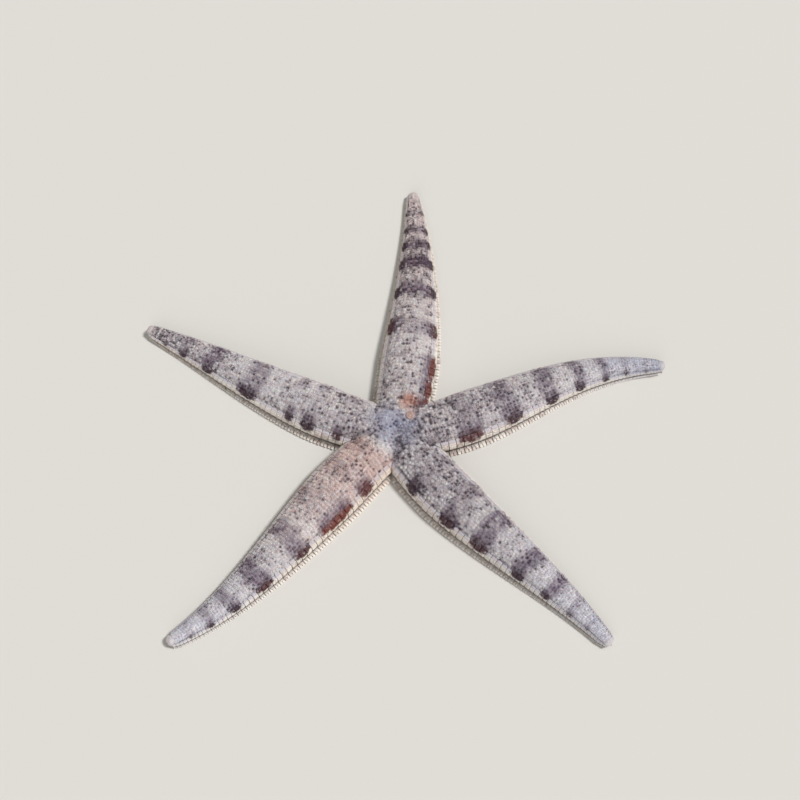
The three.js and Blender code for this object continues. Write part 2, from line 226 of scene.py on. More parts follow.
class Arm:
    """One arm: its centreline, and the way from (s, out, up) to a place in the frame."""

    STEPS = 240

    def __init__(self, pose: ArmPose, profile: ArmProfile, centre: Array) -> None:
        """Walks the centreline.

        Args:
            pose: How the arm lies.
            profile: Its breadth and height.
            centre: The disc's centre on the floor, as x and y.
        """
        self.pose = pose
        self.profile = profile
        self.s = np.linspace(0, 1, self.STEPS + 1)
        middles = (self.s[1:] + self.s[:-1]) / 2
        angles = self._heading(middles)
        step = pose.length / self.STEPS
        self.x = centre[0] + step * np.concatenate([[0], np.cumsum(np.cos(angles))])
        self.y = centre[1] + step * np.concatenate([[0], np.cumsum(np.sin(angles))])
        self.centre = centre
        self.sector = (0.0, 0.0)

    def _heading(self, s: Array) -> Array:
        """The centreline's heading at s, in radians."""
        return np.radians(self.pose.heading + self.pose.sway * s + self.pose.bend * s * s)

    def bearing(self, s: float) -> float:
        """The direction from the disc's centre to the centreline at s, in radians."""
        x, y = np.interp(s, self.s, self.x), np.interp(s, self.s, self.y)
        return math.atan2(y - self.centre[1], x - self.centre[0])

    def axes(self, s: Array) -> tuple[Array, Array]:
        """Unit vectors at s.

        Args:
            s: Places along the arm.

        Returns:
            The direction along the arm and the one to its left, each of shape (..., 3).
        """
        angle = self._heading(np.asarray(s))
        flat = np.zeros_like(angle)
        along = np.stack([np.cos(angle), np.sin(angle), flat], -1)
        across = np.stack([-np.sin(angle), np.cos(angle), flat], -1)
        return along, across

    def place(self, s: Array, out: Array, up: Array) -> Array:
        """Places in the frame.

        Args:
            s: Place along the arm.
            out: Distance to the left of the centreline.
            up: Height above the sole.

        Returns:
            Points of shape (..., 3), in millimetres.
        """
        s, out, up = np.broadcast_arrays(s, out, up)
        _, across = self.axes(s)
        rise = np.maximum(0, s - self.profile.lift_from) / (1 - self.profile.lift_from)
        x = np.interp(s, self.s, self.x) + out * across[..., 0]
        y = np.interp(s, self.s, self.y) + out * across[..., 1]
        return np.stack([x, y, up + self.pose.lift * rise**2], -1)

    def stations(self, start: float, end: float, pitch: float, at_tip: float) -> Array:
        """Places along the arm, closer together towards its tip.

        Args:
            start: The first s.
            end: The s before which they stop.
            pitch: Distance between two at the shoulder.
            at_tip: Share of it at the tip.

        Returns:
            Their s.
        """
        found, s = [], start
        while s < end:
            found.append(s)
            s += pitch * self.profile.pitch_share(s, at_tip) / self.pose.length
        return np.array(found)

    def inside(self, points: Array) -> Array:
        """Distance of each point inside the nearer edge of the arm's sector, negative outside it."""
        flat = points[..., :2] - self.centre
        return np.minimum(*(flat @ normal for normal in self._edge_normals()))

    def _edge_normals(self) -> tuple[Array, Array]:
        """Unit vectors from the right and the left edge of the sector into it."""
        right, left = self.sector
        return np.array([-math.sin(right), math.cos(right)]), np.array([math.sin(left), -math.cos(left)])

    def pressed(self, points: Array, gap: float) -> Array:
        """Moves points that stray over the sector's edges outwards along the arm, onto the edge.

        Args:
            points: Points of shape (..., 3).
            gap: How far inside the edge they are kept.

        Returns:
            The moved points.
        """
        points = points.copy()
        bearing = self.bearing(DISC_EDGE)
        away = np.array([math.cos(bearing), math.sin(bearing)])
        for normal in self._edge_normals():
            short = gap - (points[..., :2] - self.centre) @ normal
            points[..., :2] += np.maximum(0, short)[..., None] * away / (away @ normal)
        return points


class Star:
    """The five arms about one centre, and their markings."""

    LOT = 20000  # points located at a time, to spare memory

    def __init__(self) -> None:
        """Places the arms round the middle of the mouth frame, and parts the disc among them."""
        self.centre, self.sieve = (
            np.array([(low.x + high.x) / 2, (low.y + high.y) / 2]) / MM
            for low, high in (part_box("mouth"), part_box("madreporite"))
        )
        self.profile = ArmProfile()
        self.markings = Markings()
        self.arms = [Arm(pose, self.profile, self.centre) for pose in POSES]
        bearings = [arm.bearing(DISC_EDGE) for arm in self.arms]
        for i, arm in enumerate(self.arms):
            own = bearings[i]
            to_right = (own - bearings[(i + 1) % len(bearings)]) % math.tau
            to_left = (bearings[i - 1] - own) % math.tau
            arm.sector = (own - to_right / 2, own + to_left / 2)

    def locate(self, points: Array) -> tuple[Array, Array, Array]:
        """Finds the arm whose centreline runs nearest to each point.

        Args:
            points: Points of shape (n, 3) or (n, 2).

        Returns:
            The arm's index, s, and the distance to the left of its centreline.
        """
        index = np.zeros(len(points), int)
        best = np.full(len(points), np.inf)
        s, out = np.zeros(len(points)), np.zeros(len(points))
        lots = max(1, len(points) // self.LOT)
        for number, arm in enumerate(self.arms):
            path = np.stack([arm.x, arm.y], -1)
            for part in np.array_split(np.arange(len(points)), lots):
                apart = points[part, None, :2] - path[None]
                far = (apart**2).sum(-1)
                nearest = far.argmin(1)
                closer = far[np.arange(len(part)), nearest] < best[part]
                rows = part[closer]
                at = arm.s[nearest[closer]]
                _, across = arm.axes(at)
                index[rows], s[rows] = number, at
                best[rows] = far[closer, nearest[closer]]
                out[rows] = (apart[closer, nearest[closer]] * across[:, :2]).sum(-1)
        return index, s, out


# ---- Markings ----


def smoothstep(low: float, high: float, value: Array) -> Array:
    """0 below low, 1 above high and a smooth rise between them."""
    t = np.clip((value - low) / (high - low), 0, 1)
    return t * t * (3 - 2 * t)


def patches(points: Array, size: float) -> Array:
    """Smooth chance about 0 at each point, in patches of the given size."""
    return np.array([noise.noise(Vector(p) / size) for p in points])


@dataclass(frozen=True)
class Spot:
    """A round patch of colour on the disc."""

    at: Pair  # its middle, from the disc's centre
    full: float  # inside this distance it is full
    gone: float  # and outside this one it is gone

    def cover(self, offset: Array) -> Array:
        """How much of it shows at each place, given from the disc's centre."""
        return 1 - smoothstep(self.full, self.gone, np.hypot(*(offset - self.at).T))


@dataclass(frozen=True)
class Markings:
    """The colours of the animal from place to place, shared by skin, paxillae and plates."""

    soft_edge: float = 0.8  # over this distance a band's edge fades to each side
    flank: Pair = (0.45, 0.95)  # from here outwards a band nears its full strength
    flank_strength: float = 0.75
    mottle: float = 0.35  # how far bands and tints vary from patch to patch
    mottle_size: float = 2.1
    core: float = 0.8  # share of a band's length that its blotches take on the back
    core_below: float = 0.55  # and low on the marginal plates
    blotch_from: float = 0.66  # their inner edges, as a share of the back's half-breadth
    brick_from: float = 0.2  # how much further out brick red ones start
    blotch_fade: float = 0.18
    blotch_strength: float = 0.9
    faint_blotch: float = 0.45  # strength of the blotches on an arm's faint side
    fray: float = 0.11  # how far their inner edges stray
    fray_size: float = 0.8
    crease: Pair = (0.2, 1.6)  # painted shade: the back is darker this near to the next arm's, in the crease between them
    crease_shade: float = 0.3
    disc: Spot = Spot((0.0, 0.0), 2.5, 9.0)  # blue-grey
    disc_tint: float = -0.7
    disc_light: float = 0.1
    flush: Spot = Spot((2.9, 6.2), 1.0, 3.9)  # peach
    flush_tint: float = 1.05
    scar: Spot = Spot((4.6, 7.2), 0.9, 2.1)  # brick red, on the flush's edge
    scar_strength: float = 0.85
    shadow: Spot = Spot((2.0, -2.2), 1.0, 5.0)  # dark
    shadow_dark: float = 0.3
    streak_at: float = -1.6  # x of a pale streak up the disc
    streak: Pair = (0.4, 2.6)
    streak_light: float = 0.4
    plate_tint: float = 0.6  # how much of the back's tint the marginal plates have

    def _bands(self, arm: Arm, s: Array, lateral: Array, share: float) -> tuple[Array, Array, Array]:
        """Finds what the bands cover.

        Args:
            arm: The arm.
            s: Places along it.
            lateral: Places across it, 1 at its left edge and -1 at its right.
            share: How much of each band's length counts.

        Returns:
            How far each place is covered, how dark the crown is there, and the blotches' redness.
        """
        s, lateral = np.broadcast_arrays(s, lateral)
        cover, back, red = np.zeros(s.shape), np.zeros(s.shape), np.zeros(s.shape)
        for number, band in enumerate(arm.pose.bands):
            phase = 1.7 * number + arm.pose.heading
            waver = 0.4 * np.sin(2.6 * lateral + phase) + 0.25 * np.sin(7.1 * lateral + 1.9 * phase)
            reach = share * ((1 + lateral) * band.left + (1 - lateral) * band.right) / 2
            apart = np.abs((s - band.at) * arm.pose.length + waver * np.minimum(1, reach / 2))
            found = (1 - smoothstep(-self.soft_edge, self.soft_edge, apart - reach)) * np.minimum(1, reach)
            cover, back = np.maximum(cover, found), np.maximum(back, found * band.back)
            red = np.maximum(red, found * band.red)
        return cover, back, red

    def _weight(self, arm: Arm, side: Array | float) -> Array:
        """How strong the blotches are on each side, 1 for the left one and -1 for the right one."""
        faint = 0 if arm.pose.faint is None else arm.pose.faint.value
        return np.where(np.asarray(side) * faint > 0, self.faint_blotch, 1.0)

    def on_back(self, star: Star, points: Array) -> dict[str, Array]:
        """What skin and paxillae show at each place.

        Args:
            star: The arms.
            points: Places of shape (n, 3).

        Returns:
            The purple of the bands, the dark stain and its redness, the tint and the lightness, and
            each place's s and how far it lies across its arm.
        """
        index, s, out = star.locate(points)
        lateral = np.clip(out / star.profile.flesh_side(s), -1, 1)
        flank = smoothstep(*self.flank, np.abs(lateral))
        found = {name: np.zeros(len(points)) for name in ("band", "stain", "red", "tint", "light")}
        for number, arm in enumerate(star.arms):
            own = index == number
            cover, back, red = self._bands(arm, s[own], lateral[own], 1.0)
            core, _, _ = self._bands(arm, s[own], lateral[own], self.core)
            weight = self._weight(arm, np.sign(lateral[own]))
            frayed = patches(points[own], self.fray_size)
            band = back + np.maximum(0, self.flank_strength * weight * cover - back) * flank[own]
            found["band"][own] = np.clip(band * (1 + self.mottle * frayed), 0, 1)
            inner = self.blotch_from + self.brick_from * red + self.fray * frayed
            outside = smoothstep(inner, inner + self.blotch_fade, np.abs(lateral[own]))
            found["stain"][own] = self.blotch_strength * weight * core * outside
            found["red"][own] = red
            # Painted shade in the crease where two arms meet.
            crease = 1 - smoothstep(*self.crease, arm.inside(points[own]))
            found["tint"][own] = np.interp(s[own], SHADE_AT, arm.pose.warmth)
            found["light"][own] = np.interp(s[own], SHADE_AT, arm.pose.light) - self.crease_shade * crease
        offset = points[:, :2] - star.centre
        disc, scar = self.disc.cover(offset), self.scar.cover(offset)
        streak = 1 - smoothstep(*self.streak, np.abs(offset[:, 0] - self.streak_at))
        found["tint"] += disc * (self.disc_tint - found["tint"]) + self.flush.cover(offset) * self.flush_tint
        found["tint"] *= 1 + self.mottle * patches(points, self.mottle_size)
        found["tint"] = np.clip(found["tint"], -1, 1)
        found["stain"] = np.maximum(found["stain"], self.scar_strength * scar)
        found["red"] = np.maximum(found["red"], scar)
        found["light"] += disc * (self.streak_light * streak + self.disc_light - found["light"])
        found["light"] -= self.shadow_dark * self.shadow.cover(offset)
        return {**found, "s": s, "lateral": lateral}

    def on_margin(self, arm: Arm, s: Array, side: Side, level: Array) -> tuple[Array, ...]:
        """What the upper marginal plates show.

        Args:
            arm: The arm.
            s: Places along it.
            side: Its side.
            level: Height as a share of the plates' own, 0 at their lower edge.

        Returns:
            The dark stain, its redness, the tint and the lightness at each place.
        """
        whole, _, red = self._bands(arm, s, float(side.value), 1.0)
        core, _, _ = self._bands(arm, s, float(side.value), self.core_below)
        high = smoothstep(0.55, 0.85, level)
        low = smoothstep(0.3, 0.62, level)
        stain = (whole * high + core * (1 - high)) * low * self._weight(arm, side.value)
        tint, light = (np.interp(s, SHADE_AT, shades) for shades in (arm.pose.warmth, arm.pose.light))
        return stain, red, self.plate_tint * tint, light


# ---- Small shapes and their copies ----


@dataclass
class Shape:
    """A small closed shape as triangles. Each member of it may have its own colour."""

    points: Array  # (v, 3), millimetres
    faces: Array  # (f, 3)
    chart: Array  # (v, 2), places on the bake map beside the shape's own
    member: Array  # (v,)

    @classmethod
    def made(cls, bm: BMesh, patch: float) -> "Shape":
        """Takes the shape out of a bmesh, which is freed.

        Args:
            bm: The shape, standing up along z about its own origin.
            patch: Breadth of its patch on the bake map.

        Returns:
            The shape.
        """
        bmesh.ops.recalc_face_normals(bm, faces=bm.faces)
        bmesh.ops.triangulate(bm, faces=bm.faces)
        bm.verts.ensure_lookup_table()
        points = np.array([v.co for v in bm.verts])
        faces = np.array([[v.index for v in f.verts] for f in bm.faces])
        bm.free()
        middle = (points.max(0) + points.min(0)) / 2
        off = (points - middle) / np.maximum(1e-6, points.max(0) - points.min(0))
        round_z = np.arctan2(off[:, 1], off[:, 0])
        down = np.arctan2(np.hypot(off[:, 0], off[:, 1]), off[:, 2]) / math.pi
        chart = (down * patch / 2)[:, None] * np.stack([np.cos(round_z), np.sin(round_z)], -1)
        return cls(points, faces, chart, np.zeros(len(points), int))

    def moved(self, matrix: Matrix, chart_at: Pair = (0, 0)) -> "Shape":
        """The shape in another place.

        Args:
            matrix: The move, in millimetres.
            chart_at: Where its patch goes, beside that of the shape it joins.

        Returns:
            The moved shape.
        """
        m = np.array(matrix)
        points = self.points @ m[:3, :3].T + m[:3, 3]
        return Shape(points, self.faces, self.chart + np.array(chart_at), self.member)

    def facing(self, side: Side) -> "Shape":
        """The shape for one side's copies: those on the right are mirrored, so its faces turn over."""
        return self if side is Side.LEFT else Shape(self.points, self.faces[:, ::-1], self.chart, self.member)

    @property
    def members(self) -> int:
        """How many members it has."""
        return int(self.member.max()) + 1

    @staticmethod
    def joined(shapes: Iterable["Shape"]) -> "Shape":
        """Joins shapes.

        Args:
            shapes: The shapes.

        Returns:
            One shape whose members are the given ones, in their order.
        """
        shapes = list(shapes)
        starts = np.cumsum([0] + [len(x.points) for x in shapes])
        return Shape(
            np.concatenate([x.points for x in shapes]),
            np.concatenate([x.faces + start for x, start in zip(shapes, starts)]),
            np.concatenate([x.chart for x in shapes]),
            np.concatenate([np.full(len(x.points), i) for i, x in enumerate(shapes)]),
        )


class Copies:
    """Many copies of small shapes, gathered into one mesh."""

    def __init__(self, name: str, facts: tuple[str, ...]) -> None:
        """Starts an empty mesh.

        Args:
            name: The piece's name.
            facts: Names of the numbers that each vertex carries for its material.
        """
        self.name = name
        self.parts: dict[str, list[Array]] = {key: [] for key in ("points", "faces", "chart", *facts)}
        self.facts = facts
        self.count = 0

    def add(self, shape: Shape, placed: Array, at: Array, **facts: Array | float) -> None:
        """Adds copies.

        Args:
            shape: The shape they are copies of.
            placed: Their vertices, of shape (copies, vertices, 3).
            at: Their places on the bake map, of shape (copies, 2).
            facts: For each fact one number, or an array of one a copy, or one a member or a vertex of each.
        """
        copies, size = placed.shape[:2]
        starts = self.count + size * np.arange(copies)
        self.parts["points"].append(placed.reshape(-1, 3))
        self.parts["faces"].append((starts[:, None, None] + shape.faces[None]).reshape(-1, 3))
        self.parts["chart"].append((at[:, None, :] + shape.chart[None]).reshape(-1, 2))
        for key in self.facts:
            value = np.atleast_1d(np.asarray(facts[key], float))
            if value.ndim == 1:
                value = np.broadcast_to(value[:, None], (copies, size))
            self.parts[key].append((value if value.shape[1] == size else value[:, shape.member]).ravel())
        self.count += copies * size

    def build(self, sharp: float | None = None) -> Piece:
        """Writes the mesh.

        Args:
            sharp: Edges bent by more than this many degrees stay sharp, or None for none.

        Returns:
            The piece.
        """
        points = np.concatenate(self.parts["points"]) * MM
        faces = np.concatenate(self.parts["faces"])
        chart = np.concatenate(self.parts["chart"])
        mesh = bpy.data.meshes.new(self.name)
        mesh.vertices.add(len(points))
        mesh.vertices.foreach_set("co", points.astype(np.float32).ravel())
        mesh.loops.add(faces.size)
        mesh.loops.foreach_set("vertex_index", faces.astype(np.int32).ravel())
        mesh.polygons.add(len(faces))
        mesh.polygons.foreach_set("loop_start", np.arange(0, faces.size, 3, dtype=np.int32))
        mesh.polygons.foreach_set("use_smooth", np.ones(len(faces), bool))
        mesh.update(calc_edges=True)
        layer = mesh.uv_layers.new(name=BAKE_MAP)
        layer.data.foreach_set("uv", chart[faces.ravel()].astype(np.float32).ravel())
        for key in self.facts:
            store_fact(mesh, key, np.concatenate(self.parts[key]))
        if sharp is not None:
            mesh.set_sharp_from_angle(angle=math.radians(sharp))
        return shown(self.name, mesh)


def store_fact(mesh: bpy.types.Mesh, name: str, values: Array) -> None:
    """Stores a number for each vertex, for the mesh's material."""
    mesh.attributes.new(name, "FLOAT", "POINT").data.foreach_set("value", values.astype(np.float32))


def shown(name: str, mesh: bpy.types.Mesh) -> Piece:
    """Links a mesh to the scene and lets it ride on the root body.

    Args:
        name: The piece's name.
        mesh: Its mesh, in place.

    Returns:
        The piece.
    """
    piece = bpy.data.objects.new(name, mesh)
    bpy.context.scene.collection.objects.link(piece)
    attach(piece, "root")
    log.info("%s: %d faces", name, len(mesh.polygons))
    return piece


def as_piece(name: str, bm: BMesh) -> Piece:
    """Writes a bmesh in millimetres as a smooth piece in metres.

    Args:
        name: The piece's name.
        bm: The bmesh, which is freed.

    Returns:
        The piece.
    """
    bmesh.ops.scale(bm, vec=(MM, MM, MM), verts=bm.verts)
    mesh = bpy.data.meshes.new(name)
    bm.to_mesh(mesh)
    bm.free()
    mesh.polygons.foreach_set("use_smooth", np.ones(len(mesh.polygons), bool))
    return shown(name, mesh)


def standing(root: Iterable[float], towards: Iterable[float] = UP) -> Matrix:
    """The move that stands a shape on a root, with its z axis along a direction."""
    return Matrix.Translation(root) @ UP.rotation_difference(Vector(towards)).to_matrix().to_4x4()


def lathe(outline: Iterable[Pair], steps: int) -> BMesh:
    """Turns an outline once round the z axis.

    Args:
        outline: Its corners as (radius, z).
        steps: Flats in a turn.

    Returns:
        The turned shape.
    """
    bm = bmesh.new()
    points = [bm.verts.new((radius, 0, z)) for radius, z in outline]
    edges = [bm.edges.new(pair) for pair in zip(points, points[1:])]
    geom = points + edges
    bmesh.ops.spin(bm, geom=geom, cent=(0, 0, 0), axis=UP, angle=math.tau, steps=steps, use_merge=True)
    bmesh.ops.remove_doubles(bm, verts=bm.verts, dist=WELD)
    return bm


def in_lane(s: Array, lane: float) -> Array:
    """Places on the bake map in one lane, along which s runs."""
    return np.stack([0.02 + 0.96 * s, np.full(len(s), lane)], -1)


def rigid(shape: Shape, origins: Array, axes: Array) -> Array:
    """A shape's vertices (n, v, 3) at n origins, with the rows of axes (n, 3, 3) as its x, y and z."""
    return origins[:, None, :] + np.einsum("vi,nij->nvj", shape.points, axes)


def frames_about(normals: Array, along: Array, turns: Array, sizes: Array) -> Array:
    """Axes that stand on a surface.

    Args:
        normals: The z axes, of shape (copies, 3).
        along: Directions near which the x axes lie.
        turns: Turn of each about its z axis, in radians.
        sizes: Scale of each.

    Returns:
        Axes of shape (copies, 3, 3), as rigid() takes them.
    """
    z = normals / np.linalg.norm(normals, axis=1)[:, None]
    x = along - (along * z).sum(1)[:, None] * z
    x /= np.linalg.norm(x, axis=1)[:, None]
    y = np.cross(z, x)
    c, s = np.cos(turns)[:, None], np.sin(turns)[:, None]
    return np.stack([c * x + s * y, c * y - s * x, z], 1) * sizes[:, None, None]


# ---- Finishes ----


def linear(hex_colour: str) -> tuple[float, float, float, float]:
    """An sRGB hex colour as linear RGBA."""
    values = [int(hex_colour[i : i + 2], 16) / 255 for i in (1, 3, 5)]
    return (*(v / 12.92 if v <= 0.04045 else ((v + 0.055) / 1.055) ** 2.4 for v in values), 1.0)


def add_node(
    tree: Tree,
    kind: str,
    output: str | int | None = None,
    settings: dict[str, object] | None = None,
    **inputs: object,
) -> Socket | None:
    """Adds a node, sets it up and links it.

    Args:
        tree: The tree it goes into.
        kind: Its type, without the words ShaderNode.
        output: The output that is wanted, by name or number.
        settings: Its own properties.
        inputs: A value or another node's output for each input, by name with _ for a space, or by
            number as i0, i1 and so on.

    Returns:
        The output, or None where none is wanted.
    """
    made = tree.nodes.new("ShaderNode" + kind)
    for key, value in (settings or {}).items():
        setattr(made, key, value)
    for key, value in inputs.items():
        numbered = key[0] == "i" and key[1:].isdigit()
        socket = made.inputs[int(key[1:])] if numbered else made.inputs[key.replace("_", " ")]
        if isinstance(value, Socket):
            tree.links.new(value, socket)
        else:
            socket.default_value = value
    return None if output is None else made.outputs[output]


def new_material(name: str) -> tuple[Material, Tree]:
    """Makes an empty material.

    Args:
        name: Its name.

    Returns:
        The material and its tree.
    """
    material = bpy.data.materials.new(name)
    material.use_nodes = True
    material.node_tree.nodes.clear()
    return material, material.node_tree


SMOOTH = {"interpolation_type": "SMOOTHSTEP"}
MIXED = {"data_type": "RGBA"}
MULTIPLIED = {"data_type": "RGBA", "blend_type": "MULTIPLY"}


def layered(
    tree: Tree,
    ground: object,
    number: Socket,
    layers: Iterable[tuple[float, float, str]],
    way: dict[str, str],
    rise: dict[str, str] | None = None,
) -> Socket:
    """Lays colours over a ground, one after another, as one number says.

    Args:
        tree: The tree.
        ground: The colour below.
        number: The number.
        layers: For each, the numbers at which none and all of it shows, and its hex colour.
        way: MIXED or MULTIPLIED.
        rise: SMOOTH, or None for an even rise.

    Returns:
        The colour of them all.
    """
    for none_at, all_at, colour in layers:
        share = add_node(tree, "MapRange", "Result", rise, Value=number, From_Min=none_at, From_Max=all_at)
        ground = add_node(tree, "Mix", 2, way, i0=share, i6=ground, i7=linear(colour))
    return ground


@dataclass(frozen=True)
class Finish:
    """What all finishes share: a name, a grain with its relief, and how light meets them."""

    name: str
    grain: float = 0.2  # size of its grain
    relief: float = 0.04  # and how deep that is
    roughness: float = 0.6
    glow: float = 0.1  # share of the light that enters and leaves elsewhere
    glow_depth: float = 0.5  # how far it goes

    def _closed(self, material: Material, colour: Socket, height: Socket) -> Material:
        """Adds the relief, the shader and the output.

        Args:
            material: The material.
            colour: Its colour.
            height: The height that gives its relief.

        Returns:
            The finished material.
        """
        tree = material.node_tree
        relief = add_node(tree, "Bump", "Normal", Height=height, Distance=self.relief * MM)
        surface = add_node(tree, "BsdfPrincipled", 0, Base_Color=colour, Roughness=self.roughness,
                           Normal=relief, Subsurface_Weight=self.glow, Subsurface_Scale=self.glow_depth * MM)
        add_node(tree, "OutputMaterial", Surface=surface)
        return material


@dataclass(frozen=True)
class Paxilla(Finish):
    """Finish of the coat: calcite spinelets under a film of skin."""

    FACTS = ("tone", "band", "stain", "red", "tint")  # the numbers it reads at each vertex
    name: str = "paxilla_calcite"
    grain: float = 0.12
    relief: float = 0.02
    roughness: float = 0.62
    glow: float = 0.08
    glow_depth: float = 0.4
    pale: str = "#fdf8f5"
    middle: str = "#e2d7d9"
    dark: str = "#5a4f57"
    warm: str = "#f2c6b6"
    cool: str = "#c2cbe6"
    band: str = "#8f7d94"
    maroon: str = "#46303d"
    brick: str = "#84463a"

    def material(self) -> Material:
        """Builds the material.

        Returns:
            The material.
        """
        material, tree = new_material(self.name)
        place = add_node(tree, "TexCoord", "Object")
        tone, band, stain, red, tint = (
            add_node(tree, "Attribute", "Fac", {"attribute_name": name}) for name in self.FACTS
        )
        # Each crown has a shade of its own, so the back looks salt and pepper from a hand's breadth away.
        shades = ((0.0, 0.5, self.middle), (0.45, 1.0, self.pale))
        ground = layered(tree, linear(self.dark), tone, shades, MIXED, SMOOTH)
        # Pigment lies in the film of skin, so it dyes pale and dark crowns alike.
        ground = layered(tree, ground, tint, ((0.0, 1.0, self.warm), (0.0, -1.0, self.cool)), MULTIPLIED)
        ground = add_node(tree, "Mix", 2, MULTIPLIED, i0=band, i6=ground, i7=linear(self.band))
        dye = add_node(tree, "Mix", 2, MIXED, i0=red, i6=linear(self.maroon), i7=linear(self.brick))
        marked = add_node(tree, "Mix", 2, MIXED, i0=stain, i6=ground, i7=dye)
        # Calcite is chalky and matt, with a grain like fine sugar.
        grain = add_node(tree, "TexNoise", "Fac", Vector=place, Scale=1 / (self.grain * MM), Detail=2.0)
        shade = add_node(tree, "MapRange", "Result", SMOOTH, Value=grain, From_Min=0.25, From_Max=0.75,
                         To_Min=0.82, To_Max=1.0)
        colour = add_node(tree, "Mix", 2, MULTIPLIED, i0=1.0, i6=marked, i7=shade)
        return self._closed(material, colour, grain)


@dataclass(frozen=True)
class BackSkin(Finish):
    """Finish of the skin between the columns, on the side walls and on the sole."""

    FACTS = ("band", "tint", "light", "gutter", "under")  # the numbers it reads at each vertex
    name: str = "moist_echinoderm_skin"
    grain: float = 0.35
    relief: float = 0.05
    roughness: float = 0.5
    glow_depth: float = 0.6
    dark: str = "#857b80"
    pale: str = "#c9bfc2"
    light: str = "#ece6e6"
    warm: str = "#efc4b2"
    cool: str = "#c2cbe6"
    band: str = "#8f7d94"
    sole: str = "#b79d86"
    # Painted shade for the gutter behind the rows of plates; also the dark end of the lightness.
    gutter: str = "#3a2f2f"

    def material(self) -> Material:
        """Builds the material.

        Returns:
            The material.
        """
        material, tree = new_material(self.name)
        place = add_node(tree, "TexCoord", "Object")
        band, tint, light, gutter, under = (
            add_node(tree, "Attribute", "Fac", {"attribute_name": name}) for name in self.FACTS
        )
        # Soft skin is mottled, darker than the crowns that stand on it, and a little moist.
        grain = add_node(tree, "TexNoise", "Fac", Vector=place, Scale=1 / (self.grain * MM), Detail=2.0)
        ground = layered(tree, linear(self.dark), grain, ((0.3, 0.7, self.pale),), MIXED, SMOOTH)
        # Lighter or darker as the markings say; the darkest end is the painted gutter shade colour.
        ground = layered(tree, ground, light, ((0.0, 0.6, self.light), (0.0, -0.8, self.gutter)), MIXED)
        ground = layered(tree, ground, tint, ((0.0, 1.0, self.warm), (0.0, -1.0, self.cool)), MULTIPLIED)
        ground = add_node(tree, "Mix", 2, MULTIPLIED, i0=band, i6=ground, i7=linear(self.band))
        # Painted shade: the skin's low, steep side walls behind the rows of plates are darkened nearly to
        # black. The sole is a plain tan.
        ground = add_node(tree, "Mix", 2, MIXED, i0=gutter, i6=ground, i7=linear(self.gutter))
        colour = add_node(tree, "Mix", 2, MIXED, i0=under, i6=ground, i7=linear(self.sole))
        return self._closed(material, colour, grain)


@dataclass(frozen=True)
class MarginalCalcite(Finish):
    """Finish of the marginal plates, their spines and the end plates."""

    FACTS = ("tone", "stain", "red", "tint", "back", "hollow")  # the numbers it reads at each vertex
    grain: float = 0.16
    relief: float = 0.03
    roughness: float = 0.55
    fleck: float = 0.7  # size of the dusky flecks
    cream: str = "#fff5ea"
    dusk: str = "#c0aca3"
    warm: str = "#f8d8c6"
    cool: str = "#dce2f4"
    back: str = "#d2c9cd"
    maroon: str = "#38232f"
    brick: str = "#6e3329"
    # Painted shade for the hollow between the two rows of plates and the roots of the fringe spines.
    hollow: str = "#54443f"

    def material(self) -> Material:
        """Builds the material.

        Returns:
            The material.
        """
        material, tree = new_material(self.name)
        place = add_node(tree, "TexCoord", "Object")
        tone, stain, red, tint, back, hollow = (
            add_node(tree, "Attribute", "Fac", {"attribute_name": name}) for name in self.FACTS
        )
        # Scale-like granules differ in shade, and a duskier film lies over some of them in flecks.
        fleck = add_node(tree, "TexNoise", "Fac", Vector=place, Scale=1 / (self.fleck * MM), Detail=3.0)
        shade = add_node(tree, "Math", 0, {"operation": "MULTIPLY_ADD"}, i0=fleck, i1=-1.6, i2=1.25)
        shade = add_node(tree, "Math", 0, {"operation": "SUBTRACT"}, i0=shade, i1=tone)
        ground = layered(tree, linear(self.cream), shade, ((-0.6, 0.4, self.dusk),), MIXED, SMOOTH)
        ground = add_node(tree, "Mix", 2, MIXED, i0=back, i6=ground, i7=linear(self.back))
        ground = layered(tree, ground, tint, ((0.0, 1.0, self.warm), (0.0, -0.5, self.cool)), MULTIPLIED)
        # The blotches are pigment in the skin, with a ragged edge.
        ragged = add_node(tree, "Math", 0, {"operation": "MULTIPLY_ADD"}, i0=fleck, i1=1.5, i2=stain)
        share = add_node(tree, "MapRange", "Result", SMOOTH, Value=ragged, From_Min=1.0, From_Max=1.7)
        dye = add_node(tree, "Mix", 2, MIXED, i0=red, i6=linear(self.maroon), i7=linear(self.brick))
        marked = add_node(tree, "Mix", 2, MIXED, i0=share, i6=ground, i7=dye)
        # Painted shade: the hollow between the rows and the roots of the fringe spines are darkened.
        marked = add_node(tree, "Mix", 2, MIXED, i0=hollow, i6=marked, i7=linear(self.hollow))
        # The grain of calcite is matt, a little darker in its pores.
        grain = add_node(tree, "TexNoise", "Fac", Vector=place, Scale=1 / (self.grain * MM), Detail=2.0)
        shade = add_node(tree, "MapRange", "Result", SMOOTH, Value=grain, From_Min=0.25, From_Max=0.75,
                         To_Min=0.84, To_Max=1.0)
        colour = add_node(tree, "Mix", 2, MULTIPLIED, i0=1.0, i6=marked, i7=shade)
        return self._closed(material, colour, grain)


@dataclass(frozen=True)
class PlainCalcite(Finish):
    """Finish of undyed calcite and of plain skin: one colour with darker hollows in its grain."""

    ground: str = "#ead9bd"
    hollow: str = "#c9b291"

    def material(self) -> Material:
        """Builds the material.

        Returns:
            The material.
        """
        material, tree = new_material(self.name)
        place = add_node(tree, "TexCoord", "Object")
        # Porous calcite holds a darker film in its pores, and soft skin in its folds.
        grain = add_node(tree, "TexNoise", "Fac", Vector=place, Scale=1 / (self.grain * MM), Detail=2.0)
        colour = layered(tree, linear(self.hollow), grain, ((0.35, 0.7, self.ground),), MIXED, SMOOTH)
        return self._closed(material, colour, grain)


